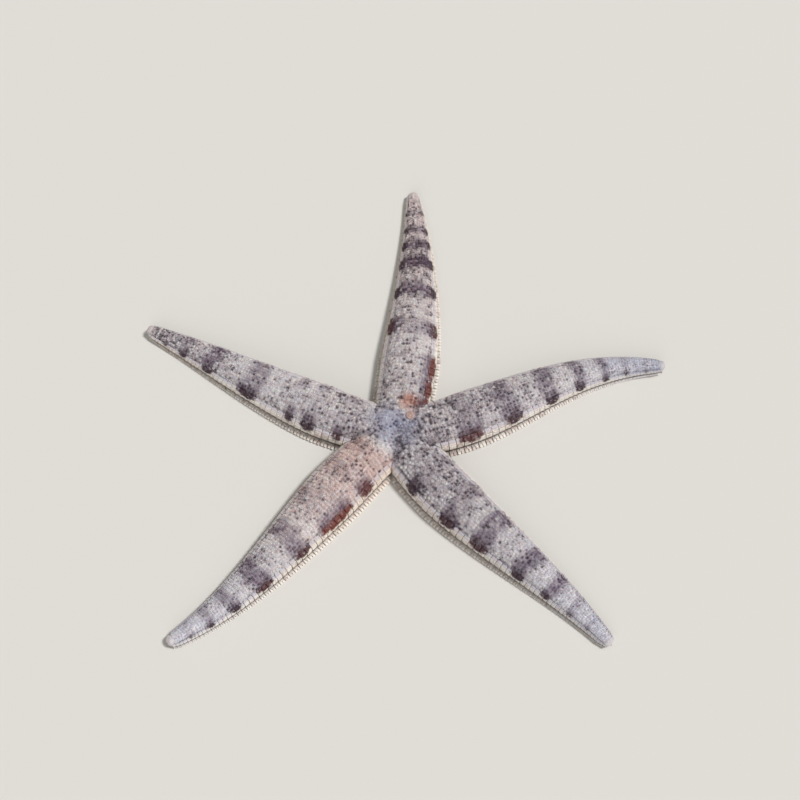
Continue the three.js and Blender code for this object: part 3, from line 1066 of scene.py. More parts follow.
@dataclass(frozen=True)
class TubeFootSkin(Finish):
    """Finish of the tube feet: thin wet skin with rings of muscle, which are its grain."""

    name: str = "tube_foot_skin"
    relief: float = 0.02
    roughness: float = 0.3
    glow: float = 0.25
    glow_depth: float = 0.6
    ground: str = "#e6d6b4"
    ring: str = "#c9b183"

    def material(self) -> Material:
        """Builds the material.

        Returns:
            The material.
        """
        material, tree = new_material(self.name)
        place = add_node(tree, "TexCoord", "Object")
        # Rings of muscle show as faint steps down each foot, and the wet skin shines.
        rings = add_node(tree, "TexWave", "Fac", {"bands_direction": "Z"}, Vector=place,
                         Scale=math.pi / 10 / (self.grain * MM), Distortion=1.0)
        colour = layered(tree, linear(self.ring), rings, ((0.2, 0.9, self.ground),), MIXED, SMOOTH)
        return self._closed(material, colour, rings)


def paint(pieces: Iterable[Piece], material: Material) -> None:
    """Gives pieces one material."""
    for piece in pieces:
        piece.data.materials.append(material)


# ---- Skin ----


@dataclass
class Skin:
    """The one skin over the disc and the arms, which lies below the CAD flesh by the coat's depth."""

    coat_depth: float = 0.42
    sole_rise: float = 0.34
    voxel: float = 0.42  # size of the even faces into which it is remade
    stations: int = 60
    around: int = 40
    smoothing: int = 5
    carved_height: float = 1.9  # only skin lower than this above the sole is carved
    groove_power: float = 2.4  # the higher it is, the squarer the groove
    groove_end: Pair = (0.93, 0.97)  # s over which the groove runs out
    mouth_radius: float = 3.2
    mouth_depth: float = 2.1
    gutter_top: Pair = (0.46, 0.56)  # shares of the height at which the painted gutter shade ends

    def section(self, profile: ArmProfile, s: Array) -> tuple[Array, Array]:
        """The closed outline across an arm, without its groove.

        Args:
            profile: The arm's breadth and height.
            s: Places along it, of shape (stations,).

        Returns:
            out and up, each of shape (stations, around + 2), ending where they start.
        """
        side = profile.flesh_side(s)[:, None]
        sole = np.full_like(side, self.sole_rise)
        edge = np.minimum(profile.sole_edge, side * 0.3)
        wall = (profile.height(s) * profile.wall_top)[:, None]
        top = (profile.height(s) - self.coat_depth)[:, None]
        dome = np.linspace(0, math.pi, self.around - 7)[None]
        out = [side * 0.33, side - edge, side, side, side * np.cos(dome)]
        out += [-side, -side, edge - side, side * -0.33, side * 0.33]
        up = [sole, sole, sole + edge, wall * 0.6, wall + (top - wall) * np.sin(dome)]
        up += [wall * 0.6, sole + edge, sole, sole, sole]
        return np.concatenate(out, 1), np.concatenate(up, 1)

    def _loft(self, bm: BMesh, arm: Arm) -> None:
        """Adds one arm's closed body.

        Args:
            bm: The bmesh to add to.
            arm: The arm.
        """
        s = np.linspace(0, arm.profile.arm_end, self.stations)
        out, up = self.section(arm.profile, s)
        places = arm.place(s[:, None], out, up).reshape(-1, 3)
        grid = bmesh.ops.create_grid(bm, x_segments=out.shape[1] - 1, y_segments=self.stations - 1, size=1)
        for vertex, place in zip(grid["verts"], places):
            vertex.co = place
        bmesh.ops.remove_doubles(bm, verts=grid["verts"], dist=WELD)

    def _remeshed(self, bm: BMesh) -> BMesh:
        """Joins the arms' bodies into one closed mesh of even faces.

        Args:
            bm: The bodies, which are freed.

        Returns:
            The joined mesh.
        """
        mesh = bpy.data.meshes.new("skin_rough")
        bm.to_mesh(mesh)
        bm.free()
        rough = bpy.data.objects.new("skin_rough", mesh)
        bpy.context.scene.collection.objects.link(rough)
        remesh = rough.modifiers.new("even", "REMESH")
        remesh.mode = "VOXEL"
        remesh.voxel_size = self.voxel
        remesh.adaptivity = 0
        evaluated = rough.evaluated_get(bpy.context.evaluated_depsgraph_get())
        joined = bmesh.new()
        joined.from_mesh(evaluated.to_mesh())
        evaluated.to_mesh_clear()
        bpy.data.objects.remove(rough)
        bpy.data.meshes.remove(mesh)
        return joined

    def _carve(self, bm: BMesh, star: Star) -> None:
        """Sinks the grooves and the mouth into the sole.

        Args:
            bm: The skin, in millimetres.
            star: The arms.
        """
        top = self.sole_rise + self.carved_height
        sole = [v for v in bm.verts if v.normal.z < -0.4 and v.co.z < top]
        points = np.array([v.co for v in sole])
        _, s, out = star.locate(points)
        half = star.profile.half_width(s) * star.profile.groove_half_width
        depth = star.profile.height(s) * star.profile.groove_depth
        groove = depth * np.clip(1 - (np.abs(out) / half) ** self.groove_power, 0, 1)
        groove *= 1 - smoothstep(*self.groove_end, s)
        away = np.hypot(*(points[:, :2] - star.centre).T)
        mouth = self.mouth_depth * (1 - smoothstep(self.mouth_radius * 0.7, self.mouth_radius, away))
        for vertex, rise in zip(sole, np.maximum(groove, mouth)):
            vertex.co.z += rise

    def build(self, star: Star) -> tuple[Piece, BVHTree]:
        """Builds the skin.

        Args:
            star: The arms.

        Returns:
            The piece, and its surface in millimetres for seating the paxillae.
        """
        rough = bmesh.new()
        for arm in star.arms:
            self._loft(rough, arm)
        bmesh.ops.holes_fill(rough, edges=[e for e in rough.edges if e.is_boundary])
        bmesh.ops.recalc_face_normals(rough, faces=rough.faces)
        bm = self._remeshed(rough)
        for _ in range(self.smoothing):
            bmesh.ops.smooth_vert(
                bm, verts=bm.verts, factor=0.5, use_axis_x=True, use_axis_y=True, use_axis_z=True
            )
        bm.normal_update()
        self._carve(bm, star)
        bmesh.ops.recalc_face_normals(bm, faces=bm.faces)
        surface = BVHTree.FromBMesh(bm)
        bm.normal_update()
        places = np.array([v.co for v in bm.verts])
        normals = np.array([v.normal for v in bm.verts])
        piece = as_piece("skin", bm)
        self._mark(piece.data, places, normals, star)
        flesh = [f"{arm.pose.name}_{part}" for arm in star.arms for part in PARTS]
        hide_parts("disc", *flesh)
        return piece, surface

    def _mark(self, mesh: bpy.types.Mesh, places: Array, normals: Array, star: Star) -> None:
        """Gives each vertex its markings, its share of the painted gutter shade and its share of the sole's
        colour.

        Args:
            mesh: The skin's mesh.
            places: Its vertices in millimetres.
            normals: Their normals.
            star: The arms.
        """
        facts = star.markings.on_back(star, places)
        # Painted shade: steep, low side walls near the arm's edge are darkened.
        low = 1 - smoothstep(*self.gutter_top, places[:, 2] / star.profile.height(facts["s"]))
        steep = 1 - smoothstep(0.12, 0.4, np.abs(normals[:, 2]))
        facts["gutter"] = steep * low * smoothstep(0.8, 0.95, np.abs(facts["lateral"]))
        facts["under"] = smoothstep(0.1, 0.5, -normals[:, 2])
        for name in BackSkin.FACTS:
            store_fact(mesh, name, facts[name])

    def dress(self, piece: Piece) -> None:
        """Gives the skin its material."""
        paint([piece], BackSkin().material())


# ---- Paxillae ----


@dataclass
class Seats:
    """Where crowns stand: one row of each array for each crown."""

    points: Array
    normals: Array
    along: Array
    sizes: Array
    charts: Array

    def kept(self, mask: Array) -> "Seats":
        """The seats where the mask is true."""
        return Seats(*(getattr(self, field.name)[mask] for field in fields(self)))


@dataclass
class Paxillae:
    """The coat: columns in cross rows over the back, each crowned with a rosette of spinelets."""

    start: float = 0.03
    pitch: float = 0.875  # distance between crowns at the shoulder
    tip_pitch: float = 0.6  # share of it at the tip
    jitter: float = 0.13
    chevron: float = 0.35  # how far a row's ends lie behind its middle, in pitches
    disc_radius: float = 5.4
    disc_spacing: float = 0.49
    disc_jitter: float = 0.06
    least_spacing: float = 0.55  # crowns nearer to each other than this share of the pitch are left out
    column: tuple[float, float, float] = (0.15, 0.24, 0.4)  # radii of its foot and table, and its height
    spinelet_radius: float = 0.106
    spinelet_length: float = 0.34
    rosettes: tuple[tuple[int, int], ...] = ((6, 1), (7, 1), (8, 2))  # spinelets round and inside a crown
    rosette_shares: tuple[float, ...] = (0.35, 0.4, 0.25)  # how common each of them is
    ring_radius: float = 0.285
    inner_radius: float = 0.085
    ring_lean: float = 27.0
    inner_lean: float = 4.0
    drawn_pitch: float = 0.9  # the pitch at which a crown has the sizes above
    sieve_room: float = 1.55
    seed: int = 11

    def _spinelet(self) -> Shape:
        """Builds a blunt peg of calcite.

        Returns:
            The spinelet, standing on the origin.
        """
        bm = bmesh.new()
        bmesh.ops.create_icosphere(bm, subdivisions=1, radius=1)
        half = self.spinelet_length / 2
        bmesh.ops.scale(bm, vec=(self.spinelet_radius, self.spinelet_radius, half), verts=bm.verts)
        bmesh.ops.translate(bm, vec=(0, 0, half), verts=bm.verts)
        return Shape.made(bm, TUFT_PATCH * 0.3)

    def _column(self) -> Shape:
        """Builds the column under a crown.

        Returns:
            The column, flaring to its table.
        """
        bm = bmesh.new()
        foot, table, height = self.column
        bmesh.ops.create_cone(bm, cap_ends=True, segments=6, radius1=foot, radius2=table, depth=height)
        return Shape.made(bm, TUFT_PATCH * 0.9)

    def _crown(self, ring: int, inner: int) -> Shape:
        """A column with its rosette.

        Args:
            ring: Spinelets round the edge, which lean outwards.
            inner: Spinelets in the middle.

        Returns:
            The crown: its column is the first member.
        """
        spinelet = self._spinelet()
        shapes = [self._column()]
        for i in range(ring + inner):
            if i < ring:
                turn, away, up, lean = i / ring, self.ring_radius, 0.1, self.ring_lean
            else:
                turn, up, lean = (i - ring) / inner + 0.1, 0.15, self.inner_lean
                away = self.inner_radius if inner > 1 else 0.0
            turned = Matrix.Rotation(math.tau * turn, 4, "Z")
            leaning = Matrix.Rotation(math.radians(lean), 4, "Y")
            chart = turned @ Vector((away * TUFT_PATCH * 1.6, 0, 0))
            shapes.append(spinelet.moved(turned @ Matrix.Translation((away, 0, up)) @ leaning, chart.xy))
        return Shape.joined(shapes)

    def _rows(self, arm: Arm, surface: BVHTree, rng: Rng) -> Seats:
        """Seats along one arm, in cross rows about the carinal row.

        Args:
            arm: The arm.
            surface: The skin.
            rng: Source of chance.

        Returns:
            The seats that lie in the arm's own sector.
        """
        profile = arm.profile
        at, across, sizes = [], [], []
        quarter = np.linspace(0, math.pi / 2, 40)
        for s in arm.stations(self.start, profile.arm_end - 0.008, self.pitch, self.tip_pitch):
            pitch = self.pitch * profile.pitch_share(s, self.tip_pitch)
            side, rise = profile.flesh_side(s), profile.height(s) * (1 - profile.wall_top)
            steps = np.hypot(np.diff(side * np.sin(quarter)), np.diff(rise * np.cos(quarter)))
            arc = np.concatenate([[0], np.cumsum(steps)])
            columns = max(1, round(arc[-1] / pitch - 0.45))
            spacing = arc[-1] / (columns + 0.5)
            for k in range(-columns, columns + 1):
                at.append(s + self.chevron * pitch * abs(k) / columns / arm.pose.length)
                across.append(math.copysign(np.interp(abs(k) * spacing, arc, quarter), k))
                sizes.append(pitch * (1.12 if k == 0 else 1.0 - 0.1 * abs(k) / columns))
        at, across, sizes = map(np.array, (at, across, sizes))
        at = at + rng.normal(0, self.jitter, len(at)) * sizes / arm.pose.length
        across = across + rng.normal(0, self.jitter, len(at)) * sizes / profile.flesh_side(at)
        across = np.clip(across, -math.pi / 2, math.pi / 2)
        wall = profile.height(at) * profile.wall_top
        out = profile.flesh_side(at) * np.sin(across)
        up = wall + (profile.height(at) - wall) * np.cos(across)
        found = [surface.find_nearest(Vector(p)) for p in arm.place(at, out, up)]
        points, normals = np.array([f[0] for f in found]), np.array([f[1] for f in found])
        along, _ = arm.axes(at)
        charts = np.stack([0.03 + 0.94 * at, 0.5 + 0.3 * across], -1)
        seats = Seats(points, normals, along, sizes, charts)
        return seats.kept((arm.inside(points) > 0.3 * sizes) & (at < profile.arm_end - 0.004))

    def _disc(self, star: Star, surface: BVHTree, rng: Rng) -> Seats:
        """Seats on the disc, packed in a spiral.

        Args:
            star: The arms.
            surface: The skin.
            rng: Source of chance.

        Returns:
            The seats.
        """
        count = int((self.disc_radius / self.disc_spacing) ** 2)
        n = np.arange(count) + 0.5
        radius, angle = self.disc_spacing * np.sqrt(n), n * GOLDEN_ANGLE
        flat = star.centre + np.stack([radius * np.cos(angle), radius * np.sin(angle)], -1)
        flat += rng.normal(0, self.disc_jitter, flat.shape)
        hits = [surface.ray_cast(Vector((x, y, 30)), -UP) for x, y in flat]
        points, normals = np.array([h[0] for h in hits]), np.array([h[1] for h in hits])
        charts = 0.5 + (flat - star.centre) / self.disc_radius * 0.42
        sizes = self.pitch * rng.uniform(0.86, 1.0, count)
        return Seats(points, normals, np.tile([1.0, 0.0, 0.0], (count, 1)), sizes, charts)

    def _thinned(self, groups: list[Seats], star: Star) -> list[Seats]:
        """Leaves out seats that crowd others or stand on the madreporite.

        Args:
            groups: The seats of each piece; earlier ones win.
            star: The arms.

        Returns:
            The seats that stay, in the same groups.
        """
        points = np.concatenate([group.points for group in groups])
        sizes = np.concatenate([group.sizes for group in groups])
        tree = KDTree(len(points))
        for i, point in enumerate(points):
            tree.insert(point, i)
        tree.balance()
        keep = np.hypot(*(points[:, :2] - star.sieve).T) > self.sieve_room
        for i in range(len(points)):
            if keep[i]:
                for _, j, _ in tree.find_range(points[i], self.least_spacing * sizes[i]):
                    if j > i:
                        keep[j] = False
        parts = np.split(keep, np.cumsum([len(group.points) for group in groups])[:-1])
        return [group.kept(part) for group, part in zip(groups, parts)]

    def build(self, star: Star, surface: BVHTree) -> list[Piece]:
        """Builds the coat.

        Args:
            star: The arms.
            surface: The skin.

        Returns:
            One piece for the disc and one for each arm.
        """
        rng = np.random.default_rng(self.seed)
        names = ["paxillae_disc"] + [f"paxillae_{arm.pose.name}" for arm in star.arms]
        groups = [self._disc(star, surface, rng)] + [self._rows(arm, surface, rng) for arm in star.arms]
        crowns = [self._crown(*counts) for counts in self.rosettes]
        pieces = []
        for name, seats in zip(names, self._thinned(groups, star)):
            copies = Copies(name, Paxilla.FACTS)
            kind = rng.choice(len(crowns), len(seats.points), p=self.rosette_shares)
            for number, crown in enumerate(crowns):
                self._plant(copies, crown, seats.kept(kind == number), star, rng)
            pieces.append(copies.build())
            log.info("%s: %d crowns", name, len(seats.points))
        return pieces

    def _plant(self, copies: Copies, crown: Shape, seats: Seats, star: Star, rng: Rng) -> None:
        """Adds one kind of crown to a piece.

        Args:
            copies: The piece.
            crown: The crown.
            seats: Where it stands.
            star: The arms.
            rng: Source of chance.
        """
        count = len(seats.points)
        sizes = seats.sizes / self.drawn_pitch * rng.uniform(0.92, 1.08, count)
        tilt = seats.normals + rng.normal(0, 0.06, (count, 3))
        axes = frames_about(tilt, seats.along, rng.uniform(0, math.tau, count), sizes)
        facts = star.markings.on_back(star, seats.points)
        tone = self._tones(seats.points, rng) + facts["light"] - 0.12 * facts["band"]
        each = tone[:, None] + rng.normal(0, 0.15, (count, crown.members))
        each[:, 0] -= 0.3
        band = np.clip(facts["band"] * rng.normal(0.9, 0.3, count), 0, 1)
        stain = facts["stain"] * (rng.random(count) < 0.9) * rng.uniform(0.75, 1.0, count)
        tint = facts["tint"] + rng.normal(0, 0.12, count)
        copies.add(
            crown, rigid(crown, seats.points, axes), seats.charts,
            tone=each, band=band, stain=stain, red=facts["red"], tint=tint,
        )

    def _tones(self, points: Array, rng: Rng) -> Array:
        """Shades crowns: most are middling, some nearly white and a few dark, in loose patches.

        Args:
            points: Where they stand.
            rng: Source of chance.

        Returns:
            One shade a crown.
        """
        tone = rng.normal(0.52, 0.22, len(points)) + 0.6 * patches(points, 1.7) + 0.35 * patches(points, 4.5)
        chance = rng.random(len(points)) + 0.35 * patches(points, 2.3)
        dark, pale = chance < 0.08, chance > 0.84
        tone[dark] = rng.uniform(-0.1, 0.3, dark.sum())
        tone[pale] = rng.uniform(0.95, 1.2, pale.sum())
        return tone

    def dress(self, pieces: list[Piece]) -> None:
        """Gives the coat its material."""
        paint(pieces, Paxilla().material())


# ---- Margins ----


def slab(outline: Iterable[Pair], length: float, bevel: float, patch: Pair) -> Shape:
    """A bevelled plate with a given outline across the arm.

    Args:
        outline: Its corners as (out, up).
        length: Its length along the arm, half on each side of the origin.
        bevel: Breadth of the bevel on its edges.
        patch: Breadth and height of its patch on the bake map.

    Returns:
        The plate, with x along the arm, y outwards and z up.
    """
    bm = bmesh.new()
    corners = [bm.verts.new((-length / 2, out, up)) for out, up in outline]
    face = bm.faces.new(corners)
    swept = bmesh.ops.extrude_face_region(bm, geom=[face])["geom"]
    far_end = [item for item in swept if isinstance(item, bmesh.types.BMVert)]
    bmesh.ops.translate(bm, vec=(length, 0, 0), verts=far_end)
    bmesh.ops.bevel(bm, geom=bm.edges[:], offset=bevel, affect="EDGES", segments=1, profile=0.5, material=-1)
    shape = Shape.made(bm, 0)
    middle = np.mean(outline, 0)
    angle = np.arctan2(shape.points[:, 2] - middle[1], shape.points[:, 1] - middle[0]) / math.pi
    shape.chart = np.stack([shape.points[:, 0] / length * patch[0], angle / 2 * patch[1]], -1)
    return shape


def blade(length: float, breadth: float, thickness: float, patch: float) -> Shape:
    """A flat blunt spine that stands on the origin.

    Args:
        length: Its length along z.
        breadth: Its breadth along x, at the root.
        thickness: Its thickness along y, at the root.
        patch: Breadth of its patch on the bake map.

    Returns:
        The spine.
    """
    bm = bmesh.new()
    bmesh.ops.create_cone(bm, cap_ends=True, segments=6, radius1=0.45, radius2=0.5, depth=1)
    bmesh.ops.translate(bm, vec=(0, 0, 0.5), verts=bm.verts)
    tip = [f for f in bm.faces if f.calc_center_median().z > 0.99]
    bmesh.ops.inset_region(bm, faces=tip, thickness=0.12, depth=0.09)
    bmesh.ops.scale(bm, vec=(breadth, thickness, length / 1.09), verts=bm.verts)
    return Shape.made(bm, patch)


def granule(radius: float, flatness: float, patch: float) -> Shape:
    """A low rounded grain about the origin.

    Args:
        radius: Its radius.
        flatness: Its height as a share of its breadth.
        patch: Breadth of its patch on the bake map.

    Returns:
        The granule.
    """
    bm = bmesh.new()
    bmesh.ops.create_icosphere(bm, subdivisions=1, radius=radius)
    bmesh.ops.scale(bm, vec=(1, 1, flatness), verts=bm.verts)
    return Shape.made(bm, patch)


def along_line(line: Outline, share: Array) -> tuple[Array, Array]:
    """Places and outward normals along an open line.

    Args:
        line: Its corners as (out, up), with the outside on its right.
        share: Places from 0 at its start to 1 at its end.

    Returns:
        Points and unit normals, each of shape (n, 2).
    """
    corners = np.array(line)
    steps = np.hypot(*np.diff(corners, axis=0).T)
    measured = np.concatenate([[0], np.cumsum(steps)]) / steps.sum()
    before, points, beyond = (
        np.stack([np.interp(np.clip(share + step, 0, 1), measured, corners[:, i]) for i in (0, 1)], -1)
        for step in (-0.12, 0.0, 0.12)
    )
    run = (beyond - before) / np.linalg.norm(beyond - before, axis=1)[:, None]
    return points, np.stack([run[:, 1], -run[:, 0]], -1)


@dataclass
class Margins:
    """The two rows of plates along each side of an arm, and the flat spines that fringe the lower one.

    Outlines are those at the shoulder, as (out, up). Elsewhere they shrink with the arm.
    """

    pitch: float = 1.7
    tip_pitch: float = 0.42  # share of it at the tip
    start: float = 0.07
    gap: float = 0.06  # share of the pitch that parts two plates
    round_off: float = 0.2  # share of their distance out by which the rows close in at the tip
    round_from: float = 0.952
    bevel: float = 0.1
    upper: Outline = (
        (5.2, 1.98), (6.35, 1.95), (6.6, 2.15), (6.66, 2.75),
        (6.5, 3.4), (6.1, 4.0), (5.7, 4.3), (5.15, 4.42),
    )
    lower: Outline = (
        (4.55, 0.4), (4.6, 0.2), (5.7, 0.17), (6.3, 0.28),
        (6.5, 0.62), (6.45, 1.12), (6.2, 1.5), (5.2, 1.64),
    )
    # Each spine's root and tip as (out, up), its breadth and thickness, its place along the plate and its
    # lane on the bake map.
    fringe: tuple[tuple[Pair, Pair, Pair, float, float], ...] = (
        ((6.35, 0.95), (7.62, 0.5), (0.72, 0.26), -0.41, 0.012),
        ((6.35, 0.9), (7.58, 0.46), (0.72, 0.26), 0.41, 0.018),
        ((6.2, 1.25), (7.0, 0.95), (0.46, 0.22), 0.0, -0.012),
    )
    granule_radius: float = 0.235
    middle_reach: float = 5.9  # out of a plate's middle, which has to lie in its arm's own sector
    seed: int = 23

    def _plate(self, outline: Outline, skip: tuple[int, int], rows: int, columns: int) -> list[Shape]:
        """A plate covered with granules.

        Args:
            outline: Its outline.
            skip: How many corners at the outline's start and end its granules leave bare.
            rows: Rows of granules up its face.
            columns: Granules in a row.

        Returns:
            The plate's body and its granules.
        """
        length = self.pitch * (1 - self.gap)
        body = slab(outline, length, self.bevel, (0.009, 0.009)).moved(Matrix.Identity(4), (-0.005, 0))
        line = outline[skip[0] : len(outline) - skip[1]]
        points, normals = along_line(line, (np.arange(rows) + 0.5) / rows)
        grain = granule(self.granule_radius, 0.5, 0.0018)
        shapes = [body]
        for row, (point, normal) in enumerate(zip(points, normals)):
            for column in range(columns):
                x = (column + 0.5 + 0.25 * (row % 2 - 0.5)) / columns - 0.5
                place = standing((x * length * 0.93, *(point + normal * 0.02)), (0, *normal))
                chart = (0.005 + x * 0.009, ((row + 0.5) / rows - 0.5) * 0.016)
                shapes.append(grain.moved(place, chart))
        return shapes

    def _fringe(self) -> list[Shape]:
        """Builds the spines of one lower plate.

        Returns:
            Two flat spines side by side and a smaller one above them.
        """
        shapes = []
        for root, tip, size, along, lane in self.fringe:
            reach = Vector((0, tip[0] - root[0], tip[1] - root[1]))
            spine = blade(reach.length, *size, 0.005)
            shapes.append(spine.moved(standing((along, *root), reach), (0, lane)))
        return shapes

    def _hollow(self, points: Array, upper: bool) -> Array:
        """How much painted shade each vertex of a plate takes: in the hollow between the two rows, and on the
        inner part of the fringe spines.

        Args:
            points: The vertices, as at the shoulder.
            upper: True for the upper row.

        Returns:
            0 to 1 for each vertex.
        """
        if upper:
            return 1 - smoothstep(1.98, 2.3, points[:, 2])
        return smoothstep(0.8, 1.2, points[:, 2]) * (1 - smoothstep(6.6, 7.1, points[:, 1]))

    def _set(
        self, copies: Copies, shape: Shape, arm: Arm, side: Side, upper: bool, markings: Markings, rng: Rng
    ) -> None:
        """Sets one row of plates along one side of an arm.

        Args:
            copies: The piece they join.
            shape: The plate, as at the shoulder.
            arm: The arm.
            side: Its side.
            upper: True for the upper row.
            markings: The colours from place to place.
            rng: Source of chance.
        """
        profile, local = arm.profile, shape.points
        s = arm.stations(self.start, profile.margin_end - 0.004, self.pitch, self.tip_pitch)
        breadth = profile.half_width(s) / profile.shoulder_half_width
        s = s[arm.inside(arm.place(s, side.value * self.middle_reach * breadth, 2.0)) > -0.55]
        share = profile.pitch_share(s, self.tip_pitch)
        breadth = profile.half_width(s) / profile.shoulder_half_width
        tall = profile.height(s) / profile.shoulder_height
        along = s[:, None] + local[None, :, 0] * share[:, None] / arm.pose.length
        rounded = 1 - self.round_off * smoothstep(self.round_from, 0.985, along)
        out = side.value * local[None, :, 1] * breadth[:, None] * rounded
        placed = arm.pressed(arm.place(along, out, local[None, :, 2] * tall[:, None]), 0.06)
        count = len(s)
        heights = [up for _, up in (self.upper if upper else self.lower)]
        level = np.broadcast_to(np.clip((local[:, 2] - min(heights)) / np.ptp(heights), 0, 1), along.shape)
        stain, red, tint, light = markings.on_margin(arm, along, side, level)
        stain = stain * upper + rng.normal(0, 0.09, (count, shape.members))[:, shape.member]
        tone = rng.normal(0.75, 0.13, (count, 1)) + rng.normal(0, 0.16, (count, shape.members))
        tone[:, 0] -= 0.3
        tone = tone[:, shape.member] + 0.5 * light
        copies.add(
            shape.facing(side), placed, in_lane(s, 0.06 + 0.23 * (side is Side.LEFT) + 0.5 * upper),
            tone=tone, stain=stain, red=red, tint=tint, back=smoothstep(0.76, 0.93, level) * upper,
            # Painted shade in the hollow between the rows.
            hollow=np.tile(self._hollow(local, upper), (count, 1)),
        )

    def build(self, star: Star) -> list[Piece]:
        """Builds both rows on every arm.

        Args:
            star: The arms.

        Returns:
            Two pieces an arm.
        """
        rng = np.random.default_rng(self.seed)
        above = Shape.joined(self._plate(self.upper, (1, 0), 7, 4))
        below = Shape.joined(self._plate(self.lower, (1, 1), 6, 3) + self._fringe())
        pieces = []
        for arm in star.arms:
            nodes = [f"{arm.pose.name}_margin_{side.name.lower()}_{part}" for side in Side for part in PARTS]
            for name, shape in (("superomarginals", above), ("inferomarginals", below)):
                copies = Copies(f"{name}_{arm.pose.name}", MarginalCalcite.FACTS)
                for side in Side:
                    self._set(copies, shape, arm, side, shape is above, star.markings, rng)
                pieces.append(copies.build(sharp=50))
                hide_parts(*nodes)
        return pieces

    def dress(self, pieces: list[Piece]) -> None:
        """Gives the plates their material."""
        paint(pieces, MarginalCalcite("marginal_calcite").material())


# ---- Underside ----


